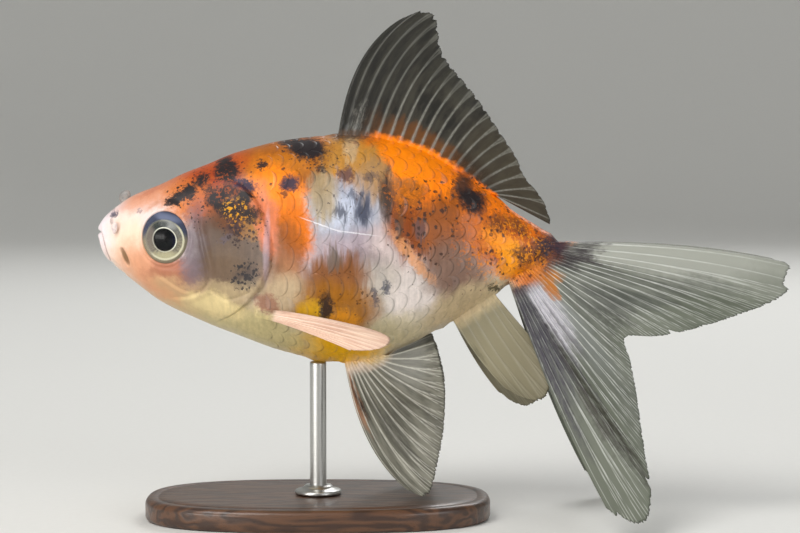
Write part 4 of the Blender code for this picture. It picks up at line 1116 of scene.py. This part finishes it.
def fin_material(name, web, deep, light, web_shows, ray_shows, served, root_keep, smudges=(), tints=()):
    """Thin skin between pale rays: smoky mottling, tints, smudges that follow the rays, markings at the root.

    served is the box of markings the root takes up, and root_keep where they
    end and begin to fade; tints and smudges are places and reaches across and
    along the fan, softness, strength and display colour.
    """
    material, shader, sh = new_material(name, Specular_IOR_Level=0.25, Coat_Weight=0.04, Coat_Roughness=0.25)
    t, s, ray = sh.parts(sh.attribute("fan")["Vector"])
    reach = sh.attribute("reach")["Fac"]
    place = sh.place()
    fine = sh.noise(place, 900.0, 4.0, 0.6)
    lies = sh.joined(sh.times(t, 26.0), sh.times(s, 3.0), 0.0)
    streaks = sh.noise(lies, 1.0, 3.0, 0.6)["Fac"]
    colour = sh.mix(sh.step(streaks, 0.35, 0.68), web, deep)
    wobble = sh.shift(sh.noise(lies, 0.8, 2.0))
    wobble = sh.vector("MULTIPLY_ADD", wobble, (0.06, 0.0, 0.25), sh.joined(t, 0.0, s))
    wobble = sh.vector("MULTIPLY_ADD", sh.shift(fine), (0.05, 0.0, 0.16), wobble)
    for ct, cs, rt, rs, soft, strength, tone in tints:
        colour = sh.mix(sh.within(wobble, ct, cs, rt, rs, 0.0, soft, strength), colour, tone)
    along = sh.joined(sh.times(t, 150.0), sh.times(s, 16.0), 0.0)
    grain = sh.step(sh.noise(along, 1.0, 3.0, 0.7)["Fac"], 0.36, 0.60, 0.35, 1.0)
    shown = sh.times(sh.step(ray, 0.2, 0.95), sh.step(s, 0.1, 1.0, 0.85, 0.5))
    colour = sh.mix(sh.times(shown, sh.times(grain, 0.7, 0.3)), colour, light)
    dark = 0.0
    for ct, cs, rt, rs, soft, strength, tone in smudges:
        mask = sh.times(grain, sh.within(wobble, ct, cs, rt, rs, 0.0, soft, strength))
        colour = sh.mix(mask, colour, tone)
        dark = sh.math("MAXIMUM", dark, mask)
    paint = sh.node("Group")
    paint.node_tree = markings_group(name + "_root_markings", served)
    edge = sh.times(sh.math("SUBTRACT", fine["Fac"], 0.5), 1.6, reach)
    fleshy = sh.step(edge, root_keep[1], root_keep[0])
    colour = sh.mix(fleshy, colour, paint.outputs["Color"])
    shows = sh.times(ray, ray_shows - web_shows, web_shows)
    shows = sh.math("MAXIMUM", shows, sh.math("MAXIMUM", fleshy, sh.times(dark, 0.95)), clamp=True)
    joints = sh.math("SINE", sh.times(reach, 2 * math.pi / RAY_JOINT))
    height = sh.times(sh.times(joints, ray), 0.4, fine["Fac"])
    sh.dress(shader, (height, 0.00002, 0.5), Base_Color=colour, Alpha=shows,
             Roughness=sh.times(fine["Fac"], 0.25, 0.25))
    return material


# ------------------------------------------------------------------- the eyes
PUPIL_AT = (0.17, -0.32)                # along the head and up from the eye's centre
PUPIL, IRIS, PLATE = 1.62, 2.88, 3.0    # radii of the pupil, the iris and the flat plate that carries it
EYE_SPOKES, EYE_BACK_RINGS = 128, 29    # vertices round the eye, rings from the plate to the back
CORNEA, CORNEA_THICK = IRIS + 0.14, 0.03


def build_eye(side, ball_material, cornea_material):
    """Eyeball with a sunk iris and pupil, under a clear cornea."""
    centre, along, out, up = eye_frame(side)
    turn = 2 * np.pi * np.arange(EYE_SPOKES) / EYE_SPOKES
    r = np.concatenate((np.linspace(0.02, PUPIL, 18), np.linspace(PUPIL, IRIS, 26)[1:],
                        np.linspace(IRIS, PLATE, 8)[1:]))

    def surface(a, u):
        e = np.clip((a / EYE_RADII[0]) ** 2 + (u / EYE_RADII[2]) ** 2, 0, 1)
        return EYE_RADII[1] * np.sqrt(1 - e)

    def laid(a, o, u):
        return centre + a[..., None] * along + o[..., None] * out + u[..., None] * up

    rr, tt = np.meshgrid(r, turn, indexing="ij")
    a, u = PUPIL_AT[0] + rr * np.cos(tt), PUPIL_AT[1] + rr * np.sin(tt)
    limbus = surface(PUPIL_AT[0] + IRIS * np.cos(tt), PUPIL_AT[1] + IRIS * np.sin(tt))
    cone = limbus - 0.10 + 0.16 * (1 - rr / IRIS)
    ripple = 0.012 * np.sin(tt * 38 + 4 * np.sin(tt * 5)) * ease(rr, PUPIL + 0.1, PUPIL + 0.5) * ease(
        rr, IRIS, IRIS - 0.3)
    lens = cone - 0.14 + 0.10 * (1 - (rr / PUPIL) ** 2)
    sunk = ease(rr, PUPIL, PUPIL - 0.12)
    plate = cone + ripple + 0.05 * hill(rr - PUPIL - 0.12, 0.10)
    depth = np.where(rr < PUPIL, lens * sunk + cone * (1 - sunk), plate)
    skin = surface(a, u)
    depth = np.where(rr > IRIS, limbus - 0.10 + (skin - limbus + 0.10) * ease(rr, IRIS, IRIS + 0.16), depth)
    loops = list(laid(a, depth, u))
    # From the iris plate out over the ball's equator to its hidden back.
    start = np.stack((a[-1] / EYE_RADII[0], u[-1] / EYE_RADII[2]), -1)
    rho0 = np.linalg.norm(start, axis=1)
    way = start / rho0[:, None]
    lat0 = np.arccos(np.clip(rho0, 0, 1))
    for k in range(1, EYE_BACK_RINGS + 1):
        lat = lat0 + (-0.5 * np.pi - lat0) * k / EYE_BACK_RINGS
        flat = np.cos(lat)
        loops.append(laid(way[:, 0] * flat * EYE_RADII[0], EYE_RADII[1] * np.sin(lat),
                          way[:, 1] * flat * EYE_RADII[2]))
    grid = np.array(loops)
    quads, _ = ring_quads(len(grid), EYE_SPOKES, swapped=True)
    if side > 0:
        quads = quads[:, ::-1]
    local = grid - centre
    facts = np.stack((local @ along - PUPIL_AT[0], local @ up - PUPIL_AT[1], local @ out), -1).reshape(-1, 3)
    held = facts / 9.0 + 0.5
    back = np.repeat(np.arange(len(grid)) > len(r) + 12, EYE_SPOKES)
    uv = np.where(back[:, None], 0.99, np.clip(held[:, :2], 0.01, 0.98))
    make_piece("eyeball_" + WORDS[side], grid, quads, ball_material, ("eye_" + WORDS[side],),
               values={"eye": facts}, uv=uv[quads.ravel()])
    # The cornea: a thin clear dome from the limbus outwards.
    rr, tt = np.meshgrid(np.linspace(0.02, CORNEA, 34), turn, indexing="ij")
    a, u = PUPIL_AT[0] + rr * np.cos(tt), PUPIL_AT[1] + rr * np.sin(tt)
    dome = surface(a, u) + 0.015 + 0.16 * np.clip(1 - (rr / CORNEA) ** 2, 0, 1)
    shell = laid(a, dome, u)
    inner = shell - CORNEA_THICK * out
    top, index = ring_quads(len(shell), EYE_SPOKES, swapped=True)
    low = top[:, ::-1] + index.size
    edge, edge_next = index[-1], np.roll(index[-1], -1)
    rim = np.stack((edge, edge + index.size, edge_next + index.size, edge_next), -1)
    quads = np.concatenate((top, low, rim))
    if side > 0:
        quads = quads[:, ::-1]
    points = np.concatenate((shell.reshape(-1, 3), inner.reshape(-1, 3)))
    flat = np.stack((a, u), -1).reshape(-1, 2) / 7.0 + 0.5
    make_piece("cornea_" + WORDS[side], points, quads, cornea_material,
               uv=np.concatenate((flat, flat))[quads.ravel()])


# Patches of the iris: place and reach about the pupil, tilt, softness, strength and display colour.
IRIS_PATCHES = (
    (0.7, 2.15, 1.0, 0.5, -20, 0.6, 0.8, (150, 152, 150)),
    (-0.75, 2.05, 1.3, 0.6, 12, 0.4, 0.95, (44, 50, 48)),
    (-2.3, 0.2, 0.8, 1.7, 0, 0.6, 0.8, (116, 106, 98)),
    (0.2, -2.5, 1.9, 0.7, 0, 0.6, 0.8, (178, 172, 138)),
)


def eye_material():
    """Black pupil, silver ring, olive-grey iris and a pale limbus; the white above is painted slate-blue as
    shade under the brow, with a painted reflection band.
    """
    material, shader, sh = new_material("eye_ball", Specular_IOR_Level=0.12)
    a, u, _ = sh.parts(sh.attribute("eye")["Vector"])
    place = sh.place()
    fine = sh.noise(place, 1800.0, 4.0, 0.6)
    wobble = sh.times(sh.math("SUBTRACT", fine["Fac"], 0.5), 0.16)
    radius = sh.math("SQRT", sh.math("ADD", sh.times(a, a), sh.times(u, u)))
    r = sh.math("ADD", radius, wobble)
    turn = sh.math("ARCTAN2", u, a)
    spread = [sh.times(sh.math(wave, turn), 7.0) for wave in ("COSINE", "SINE")]
    spokes = sh.noise(sh.joined(*spread, sh.times(r, 0.9)), 1.0, 3.0, 0.6)["Fac"]
    flat = sh.joined(a, 0.0, u)
    upper = sh.step(u, -0.6, 1.4)
    colour = sh.mix(sh.step(spokes, 0.35, 0.65), (148, 140, 118), (104, 100, 88))
    colour = sh.mix(sh.times(upper, 0.85), colour, (92, 94, 94))
    for *patch, tone in IRIS_PATCHES:
        colour = sh.mix(sh.within(flat, *patch), colour, tone)
    band = sh.step(radius, IRIS - 0.10, IRIS + 0.06)
    # The white: pale below, with painted slate-blue shade under the brow above.
    sclera_with_painted_light = sh.mix(sh.step(u, -0.4, 1.2), (140, 132, 112), (66, 72, 92))
    # A painted reflection band across the upper white.
    sclera_with_painted_light = sh.mix(sh.within(flat, 0.4, 3.15, 1.7, 0.42, -14, 0.7, 0.9), sclera_with_painted_light, (106, 114, 140))
    colour = sh.mix(band, colour, sclera_with_painted_light)
    ring = sh.step(sh.math("ABSOLUTE", sh.math("SUBTRACT", r, IRIS - 0.12)), 0.22, 0.05)
    low = sh.step(sh.math("SUBTRACT", a, u), -0.9, 1.0, 0.12, 0.95)
    colour = sh.mix(sh.times(ring, low), colour, (204, 200, 172))
    silver = sh.step(sh.math("ABSOLUTE", sh.math("SUBTRACT", radius, PUPIL + 0.10)), 0.12, 0.03)
    bright = sh.times(silver, sh.step(sh.math("ADD", a, u), -1.6, 1.4, 0.35, 1.0))
    colour = sh.mix(bright, colour, (226, 226, 212))
    pupil = sh.step(radius, PUPIL + 0.02, PUPIL - 0.04)
    colour = sh.mix(pupil, colour, sh.mix(sh.step(a, 0.7, 1.6), (4, 5, 7), (10, 14, 40)))
    relief = sh.times(sh.math("ADD", spokes, fine["Fac"]), sh.math("SUBTRACT", 1.0, pupil))
    sh.dress(shader, (relief, 0.00003, 0.4), Base_Color=colour, Metallic=sh.times(bright, 0.3),
             Roughness=sh.times(pupil, 0.3, 0.42))
    return material


def cornea_material():
    """Clear film: a mirror by its angle, over what lies behind it."""
    material, shader, sh = new_material("eye_cornea")
    tree = material.node_tree
    tree.nodes.remove(shader)
    gloss = sh.node("BsdfGlossy")
    gloss.inputs["Color"].default_value = (1.0, 1.0, 1.0, 1.0)
    grain = sh.noise(sh.place(), 700.0, 1.0)["Fac"]
    sh.feed(gloss.inputs["Roughness"], sh.times(grain, 0.05, 0.16))
    clear = sh.node("BsdfTransparent")
    angle = sh.node("Fresnel")
    angle.inputs["IOR"].default_value = 1.38
    both = sh.node("MixShader")
    outer = sh.math("SUBTRACT", 1.0, sh.node("NewGeometry").outputs["Backfacing"])
    sh.feed(both.inputs[0], sh.times(sh.times(angle.outputs[0], 0.38), outer))
    tree.links.new(clear.outputs[0], both.inputs[1])
    tree.links.new(gloss.outputs[0], both.inputs[2])
    out = next(n for n in tree.nodes if n.type == "OUTPUT_MATERIAL")
    tree.links.new(both.outputs[0], out.inputs["Surface"])
    return material


# --------------------------------------------------------- the nostril's flaps
def build_flap(word, centre, radii, lean, turn, material):
    """A small lobed flap of skin that widens into the snout at its foot."""
    rings, around = 40, 80
    lat, lon = np.meshgrid(np.linspace(-np.pi / 2, np.pi / 2, rings), 2 * np.pi * np.arange(around) / around,
                           indexing="ij")
    v = np.stack((np.cos(lat) * np.cos(lon), np.cos(lat) * np.sin(lon), np.sin(lat)), -1)
    foot = ease(-v[..., 2], 0.2, 1.0)
    v[..., 0] *= 1 + 0.10 * np.sin(3 * lon) * (1 - foot) - 0.15 * foot
    v[..., 1] *= 1 + 1.6 * foot
    v[..., 2] = np.where(v[..., 2] < 0, v[..., 2] * 1.35, v[..., 2] * (1 + 0.08 * np.cos(2 * lon)))
    v *= np.array(radii)
    v[..., 0] += 0.25 * np.clip(v[..., 2], 0, None) ** 2
    cl, sl = math.cos(math.radians(lean)), math.sin(math.radians(lean))
    ct, st = math.cos(math.radians(turn)), math.sin(math.radians(turn))
    y, z = v[..., 1] * cl - v[..., 2] * sl, v[..., 1] * sl + v[..., 2] * cl
    x, y = v[..., 0] * ct - y * st, v[..., 0] * st + y * ct
    grid = np.stack((x, y, z), -1) + np.array(centre)
    quads, _ = ring_quads(rings, around)
    u = np.linspace(0.02, 0.98, around)[None] + 0 * lat
    uv = np.stack((u, np.clip(lat / np.pi + 0.5, 0.02, 0.98)), -1).reshape(-1, 2)[quads.ravel()]
    make_piece("nostril_skin_" + word, grid, quads, material, ("nostril_flap_" + word,), uv=uv)


def flap_material(name, dark, light):
    """Thin cloudy skin of a nostril's flap."""
    material, shader, sh = new_material(name, Specular_IOR_Level=0.3, Coat_Weight=0.05, Coat_Roughness=0.2)
    place = sh.place()
    cloud = sh.noise(place, 1500.0, 3.0, 0.6)["Fac"]
    sh.dress(shader, (cloud, 0.00003, 0.5), Base_Color=sh.mix(sh.step(cloud, 0.35, 0.65), dark, light),
             Roughness=sh.times(cloud, 0.2, 0.3))
    return material


# ------------------------------------------------------------------ the stand
BASE_SQUARENESS, BASE_ROUNDING = 2.6, 0.0009    # of its outline; of its upper edge, in metres


def lathe(name, node, profile, material, around=96):
    """A turned piece about the stand's axis; radius and height in metres."""
    low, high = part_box(node)
    middle = (low + high) / 2
    rows = np.array(profile)
    turn = 2 * np.pi * np.arange(around) / around
    world = np.stack((middle.x + rows[:, :1] * np.cos(turn), middle.y + rows[:, :1] * np.sin(turn),
                      np.repeat(rows[:, 1:], around, 1)), -1)
    quads, _ = ring_quads(len(rows), around)
    u = np.repeat(np.linspace(0.02, 0.98, around)[None], len(rows), 0)
    v = np.repeat(np.linspace(0.02, 0.98, len(rows))[:, None], around, 1)
    uv = np.stack((u, v), -1).reshape(-1, 2)[quads.ravel()]
    make_piece(name, (world - SNOUT) / UNIT, quads, material, (node,), uv=uv)


def rounded(corners, per=6):
    """A turned profile with each given corner (radius, height, rounding) rounded."""
    out = []
    for k, (r, z, bend) in enumerate(corners):
        if bend == 0:
            out.append((r, z))
            continue
        here = np.array((r, z))
        before, after = np.array(corners[k - 1][:2]), np.array(corners[k + 1][:2])
        a = here + (before - here) / np.linalg.norm(before - here) * bend
        b = here + (after - here) / np.linalg.norm(after - here) * bend
        for j in range(per + 1):
            w = j / per
            out.append(tuple((1 - w) ** 2 * a + 2 * w * (1 - w) * here + w**2 * b))
    return out


def build_base(wood):
    """An oval base with a rounded upper edge and a fine groove inside it."""
    low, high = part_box("stand_base")
    size, middle = high - low, (low + high) / 2
    around = 288
    turn = 2 * np.pi * np.arange(around) / around
    ox, oy = (signed_power(wave(turn), 2 / BASE_SQUARENESS) for wave in (np.cos, np.sin))
    top, edge = high.z, BASE_ROUNDING
    rows = [(0.0005, low.z), (0.00015, low.z + 0.0002), (0.0, low.z + 0.0006)]
    rows += [(edge * (1 - math.cos(a)), top - edge + edge * math.sin(a))
             for a in np.linspace(0, math.pi / 2, 10)]
    rows += [(0.0016, top), (0.0018, top - 0.00012), (0.0020, top - 0.00012), (0.0022, top), (0.004, top)]
    loops = [np.stack((middle.x + (size.x / 2 - inset) * ox, middle.y + (size.y / 2 - inset) * oy,
                       np.full(around, z)), -1) for inset, z in rows]
    last = loops[-1]
    for share in (0.75, 0.5, 0.3, 0.12):
        loops.append(np.stack((middle.x + (last[:, 0] - middle.x) * share,
                               middle.y + (last[:, 1] - middle.y) * share, last[:, 2]), -1))
    grid = (np.array(loops) - SNOUT) / UNIT
    quads, index = ring_quads(len(grid), around)
    ends = np.array(((middle.x, middle.y, low.z), (middle.x, middle.y, top)))
    points = np.concatenate((grid.reshape(-1, 3), (ends - SNOUT) / UNIT))
    k = np.arange(around)
    under = np.stack((np.full(around, len(points) - 2), index[0, (k + 1) % around], index[0, k]), 1)
    over = np.stack((np.full(around, len(points) - 1), index[-1, k], index[-1, (k + 1) % around]), 1)
    tris = np.concatenate((under, over))
    world = points * UNIT + SNOUT
    uv_at = 0.5 + (world[:, :2] - (middle.x, middle.y)) / size.x * 0.45
    uv_at[:, 1] = uv_at[:, 1] * 0.5 + 0.02
    uv = np.concatenate((uv_at[quads.ravel()], uv_at[under.ravel()] + (0, 0.45), uv_at[over.ravel()]))
    make_piece("stand_base_wood", points, quads, wood, ("stand_base",), tris=tris, uv=uv)


def build_rod(steel):
    """A flanged collar on the base and the rod that stands in it."""
    rod_low, rod_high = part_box("stand_rod")
    rod = (rod_high.x - rod_low.x) / 2
    low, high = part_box("stand_collar")
    r, h = (high.x - low.x) / 2, high.z - low.z
    bore = rod + 0.00005
    flange = rounded(((bore, low.z, 0), (r, low.z, 0.0002), (r, low.z + h * 0.42, 0.0003),
                      (r * 0.66, low.z + h * 0.62, 0.0005), (r * 0.56, high.z, 0.00015), (bore, high.z, 0)))
    lathe("stand_collar_steel", "stand_collar", flange, steel)
    shaft = [(rod, rod_low.z + (rod_high.z - rod_low.z) * k / 12) for k in range(1, 12)]
    tip = rounded(((rod, rod_high.z - 0.0008, 0), (rod, rod_high.z, 0.0004), (0.00001, rod_high.z, 0)))
    foot = [(0.00001, rod_low.z), (rod, rod_low.z)]
    lathe("stand_rod_steel", "stand_rod", foot + shaft + tip, steel)


def wood_material():
    """Dark stained wood with long grain, pores and a satin lacquer."""
    material, shader, sh = new_material("stained_walnut", Coat_Weight=0.35, Coat_Roughness=0.18)
    place = sh.vector("MULTIPLY", sh.place(), (1.0, 7.0, 7.0))
    bend = sh.noise(place, 24.0, 3.0, 0.55)["Fac"]
    rings = sh.math("SINE", sh.times(bend, 62.0))
    pores = sh.noise(sh.vector("MULTIPLY", place, (1.0, 2.6, 2.6)), 420.0, 3.0, 0.7)["Fac"]
    colour = sh.mix(sh.step(rings, -1.0, 1.0), (58, 36, 24), (92, 60, 38))
    colour = sh.mix(sh.step(pores, 0.56, 0.70, 0.0, 0.7), colour, (28, 17, 12))
    relief = sh.math("SUBTRACT", rings, sh.times(pores, 2.0))
    sh.dress(shader, (relief, 0.00003, 0.5), Base_Color=colour, Roughness=sh.times(pores, 0.3, 0.25))
    return material


def steel_material():
    """Satin steel, brushed round its axis."""
    material, shader, sh = new_material("brushed_steel", Metallic=1.0)
    place = sh.vector("MULTIPLY", sh.place(), (0.05, 0.05, 1.0))
    lines = sh.noise(place, 16000.0, 2.0, 0.6)["Fac"]
    sh.dress(shader, (lines, 0.00001, 0.4), Base_Color=sh.mix(lines, (176, 176, 174), (206, 206, 203)),
             Roughness=sh.times(lines, 0.2, 0.22))
    return material


# ------------------------------------------------------ stage, light and camera
FLOOR, SWEEP, WALL = 1.0, 0.6, 1.5      # flat floor's radius, bend into the wall, wall's top, in metres
AIM = (0.01, 0.0, 0.035)
# Name, place, width and height, power and colour of each lamp.
LAMPS = (
    ("key_light", (-0.35, -0.45, 0.62), (0.45, 0.35), 3.9, (1.0, 0.985, 0.96)),
    ("fill_light", (0.55, -0.52, 0.22), (0.5, 0.3), 1.5, (0.96, 0.98, 1.0)),
    ("low_light", (-0.40, -0.46, 0.06), (0.4, 0.12), 1.3, (1.0, 0.98, 0.95)),
    ("rim_light", (0.25, 0.60, 0.55), (0.5, 0.3), 2.4, (1.0, 1.0, 1.0)),
)
CAMERA_RISE = math.radians(3.0)
CAMERA_AWAY, CAMERA_AIM = 0.322, (0.0119, 0.0, 0.0364)


def build_stage():
    """A round pale studio floor that curves up into its wall."""
    around = 96
    rows = [(0.12 * k + 0.001, 0.0) for k in range(8)]
    rows += [(FLOOR + SWEEP * math.sin(a), SWEEP - SWEEP * math.cos(a))
             for a in np.linspace(0, math.pi / 2, 14)]
    rows = np.array(rows + [(FLOOR + SWEEP, WALL)])
    turn = 2 * np.pi * np.arange(around) / around
    world = np.stack((rows[:, :1] * np.cos(turn), rows[:, :1] * np.sin(turn),
                      np.repeat(rows[:, 1:], around, 1)), -1)
    quads, index = ring_quads(len(rows), around, swapped=True)
    tris = np.stack((np.full(around, index.size), index[0], np.roll(index[0], -1)), 1)
    points = np.concatenate((world.reshape(-1, 3), ((0, 0, 0.0),)))
    material, shader, sh = new_material("pale_studio_paper", Specular_IOR_Level=0.2)
    cloud = sh.noise(sh.place(), 900.0, 3.0)["Fac"]
    sh.dress(shader, Base_Color=sh.mix(cloud, (228, 228, 225), (233, 233, 230)),
             Roughness=sh.times(cloud, 0.1, 0.75))
    floor = make_piece("studio_floor", (points - SNOUT) / UNIT, quads, material, tris=tris, rides=False)


def add_object(name, data, place, turn):
    """A lamp or camera, placed and turned."""
    ob = bpy.data.objects.new(name, data)
    ob.location, ob.rotation_euler = place, turn
    bpy.context.scene.collection.objects.link(ob)
    return ob


def build_light():
    """Soft lamps about the fish in an even, dim white surround."""
    world = bpy.data.worlds.new("studio")
    world.use_nodes = True
    surround = world.node_tree.nodes["Background"].inputs
    surround["Color"].default_value = (1.0, 1.0, 1.0, 1.0)
    surround["Strength"].default_value = 0.30
    bpy.context.scene.world = world
    for name, place, size, power, colour in LAMPS:
        data = bpy.data.lights.new(name, "AREA")
        data.shape = "RECTANGLE"
        data.size, data.size_y = size
        data.energy, data.color = power, colour
        add_object(name, data, place, (Vector(AIM) - Vector(place)).to_track_quat("-Z", "Y").to_euler())


def build_camera():
    """Level with the fish's left flank, a little above it."""
    data = bpy.data.cameras.new("camera")
    data.lens, data.sensor_width = 100.0, 36.0
    data.clip_start, data.clip_end = 0.01, 20.0
    away = Vector((0.0, -CAMERA_AWAY * math.cos(CAMERA_RISE), CAMERA_AWAY * math.sin(CAMERA_RISE)))
    bpy.context.scene.camera = add_object("camera", data, Vector(CAMERA_AIM) + away,
                                          (math.pi / 2 - CAMERA_RISE, 0.0, 0.0))


# -------------------------------------------------------------------- assembly
build_camera()
build_light()
build_stage()
bpy.context.scene.view_settings.view_transform = "Standard"

bare_skin = skin_material("calico_skin", False)
scale_skin = skin_material("calico_scales", True)
skin_piece(bare_skin)
for side in (-1, 1):
    build_scales(side, scale_skin)

caudal = fin_material(
    "caudal_fin", (116, 119, 110), (76, 79, 72), (206, 208, 203), 0.92, 0.98,
    (61.0, 70.0, -10.0, 1.0), smudges=(
        (0.715, 0.15, 0.08, 0.20, 0.9, 0.85, (204, 200, 210)),
        (0.555, 0.13, 0.06, 0.075, 0.5, 1.0, (178, 108, 40)),
        (0.47, 0.72, 0.045, 0.16, 0.6, 0.75, (62, 64, 58)),
        (0.40, 0.50, 0.03, 0.16, 0.6, 0.7, (70, 72, 66)),
        (0.32, 0.62, 0.04, 0.10, 0.6, 0.6, (76, 80, 74)),
        (0.14, 0.72, 0.03, 0.12, 0.7, 0.5, (84, 88, 80)),
        (0.825, 0.62, 0.03, 0.36, 0.5, 0.9, (50, 46, 40)),
        (0.84, 0.30, 0.02, 0.20, 0.5, 0.85, (50, 44, 48)),
        (0.90, 0.16, 0.06, 0.26, 0.6, 0.95, (46, 40, 56)),
        (0.965, 0.26, 0.025, 0.34, 0.6, 0.9, (50, 44, 58)),
        (0.78, 0.40, 0.012, 0.20, 0.6, 0.75, (66, 62, 68)),
        (0.70, 0.34, 0.015, 0.16, 0.6, 0.7, (64, 62, 66)),
        (0.10, 0.08, 0.16, 0.07, 0.7, 0.9, (46, 38, 44)),
        (0.22, 0.10, 0.10, 0.06, 0.7, 0.8, (52, 42, 48)),
        (0.86, 0.62, 0.015, 0.12, 0.6, 0.7, (60, 56, 50)),
    ),
    tints=(
        (0.03, 0.45, 0.10, 0.60, 0.7, 0.9, (164, 166, 157)),
        (0.72, 0.14, 0.09, 0.18, 0.9, 0.7, (112, 112, 120)),
        (0.64, 0.36, 0.06, 0.30, 0.8, 0.5, (150, 154, 158)),
        (0.80, 0.85, 0.24, 0.45, 0.8, 0.7, (94, 98, 88)),
        (0.50, 0.08, 0.07, 0.09, 0.8, 0.95, (190, 118, 40)),
        (0.92, 0.80, 0.14, 0.30, 0.7, 0.6, (104, 109, 94)),
        (0.30, 0.95, 0.20, 0.20, 0.7, 0.6, (102, 108, 93)),
    ),
    root_keep=(0.2, 2.2))
dorsal = fin_material(
    "dorsal_fin", (60, 58, 50), (34, 33, 30), (136, 136, 128), 0.93, 0.97,
    (34.0, 59.0, 3.0, 15.0), smudges=(
        (0.01, 0.45, 0.03, 0.6, 0.5, 0.8, (38, 38, 36)),
        (0.72, 0.10, 0.12, 0.20, 0.7, 0.8, (52, 36, 22)),
        (0.06, 0.10, 0.09, 0.16, 0.6, 0.8, (40, 38, 36)),
        (0.08, 0.50, 0.12, 0.40, 0.8, 0.6, (34, 34, 32)),
        (0.30, 0.90, 0.16, 0.10, 0.7, 0.6, (40, 40, 36))),
    tints=(
        (0.46, 0.06, 0.24, 0.13, 0.7, 0.75, (112, 66, 20)),
        (0.10, 0.06, 0.025, 0.12, 0.6, 0.8, (150, 148, 140)),
        (0.85, 0.6, 0.22, 0.6, 0.6, 0.6, (70, 62, 48))),
    root_keep=(-0.1, 0.7))
pelvic = fin_material(
    "pelvic_fin", (124, 122, 110), (86, 84, 74), (206, 204, 193), 0.88, 0.96,
    (34.0, 43.0, -20.0, -15.0), smudges=(
        (0.10, 0.30, 0.035, 0.08, 0.6, 1.0, (48, 34, 28)), (0.06, 0.17, 0.025, 0.06, 0.6, 1.0, (48, 34, 28)),
        (0.26, 0.55, 0.05, 0.20, 0.7, 0.7, (66, 64, 58)),),
    tints=((0.05, 0.2, 0.05, 0.2, 0.7, 0.6, (186, 124, 84)), (0.9, 0.4, 0.2, 0.3, 0.7, 0.5, (150, 150, 144))),
    root_keep=(0.5, 2.2))
anal = fin_material(
    "anal_fin", (108, 103, 84), (88, 84, 67), (152, 148, 130), 0.90, 0.97,
    (50.0, 60.0, -14.0, -7.0), smudges=((0.06, 0.45, 0.04, 0.10, 0.7, 0.5, (80, 76, 58)),),
    tints=((0.5, 0.0, 2.0, 0.75, 1.0, 0.9, (152, 144, 118)),), root_keep=(0.3, 2.0))
pectoral = fin_material(
    "pectoral_fin", (236, 202, 178), (214, 172, 150), (250, 228, 210), 0.94, 0.98,
    (23.0, 27.0, -13.0, -9.0), root_keep=(0.3, 1.4))

# Values in pairs are the left fin's and the right fin's, which differ a little.
for far, side in enumerate((-1, 1)):
    word = WORDS[side]
    build_fin("tail_fin_" + word, ("caudal_upper_" + word, "caudal_lower_" + word), CAUDAL_RAYS, caudal_root,
              26, 340, 92, caudal, side=side, sink=3.2, flare=0.75, fade=2.6,
              wave=(0.55, 2.2, (0.1, 0.45)[far]), seed=21 + far, stiff=2, branch=0.36, heavy=0.15,
              nicks=((0.05, 0.012, 0.03), (0.38, 0.006, 0.05), (0.83, 0.006, 0.03)))
    build_fin("pelvic_fin_blade_" + word, ("pelvic_fin_" + word,), PELVIC_RAYS, pelvic_root,
              13, 160, 60, pelvic, side=side, sweep=(0.0, 3.0)[far], sink=1.8, flare=0.55, fade=2.0,
              wave=(0.30, 1.5, 0.2), seed=31 + far)
    build_fin("anal_fin_blade_" + word, ("anal_fin_" + word,), ANAL_RAYS, anal_root,
              7, 100, 50, anal, side=side, sweep=(2.0, -4.0)[far], size=(0.97, 1.03)[far], sink=1.6,
              flare=0.45, fade=1.6, wave=(0.30, 1.2, (0.0, 0.4)[far]), seed=41 + far)
    build_fin("pectoral_fin_blade_" + word, ("pectoral_fin_" + word,), PECTORAL_RAYS, pectoral_root,
              15, 160, 56, pectoral, side=side, sink=2.0, flare=0.25, fade=1.4,
              wave=(0.14, 1.5, 0.3), heavy=0.12, seed=51 + far)
build_fin("dorsal_fin_blade", ("dorsal_fin",), DORSAL_RAYS, dorsal_root, 20, 320, 72, dorsal, sink=1.4,
          flare=0.50, fade=0.9, wave=(0.22, 2.5, 0.0), seed=61, stiff=2, branch=0.62, heavy=0.26, part=0.12)

ball, film = eye_material(), cornea_material()
for side in (-1, 1):
    build_eye(side, ball, film)
pale_flap = flap_material("nostril_flap_pale", (206, 190, 188), (232, 214, 208))
# The far flap's skin is the same as the near one's, painted darker grey: painted shade of the far side.
shaded_flap = flap_material("nostril_flap_painted_shade", (128, 126, 124), (158, 150, 144))
FLAP_AT, FLAP_OUT = 3.5, 2.2            # the right flap's root, which shows over the snout
flap_top = float(height_at(np.array(FLAP_AT), FLAP_OUT, back=True)) + 1.15
build_flap("right", (FLAP_AT, FLAP_OUT, flap_top), (0.85, 0.2, 0.95), -14, -10, shaded_flap)
flap_side = -float(side_at(np.array(2.8), np.array(0.5))) - 0.62
build_flap("left", (2.8, flap_side, 0.7), (0.46, 0.16, 0.72), 4, -22, pale_flap)
build_base(wood_material())
build_rod(steel_material())
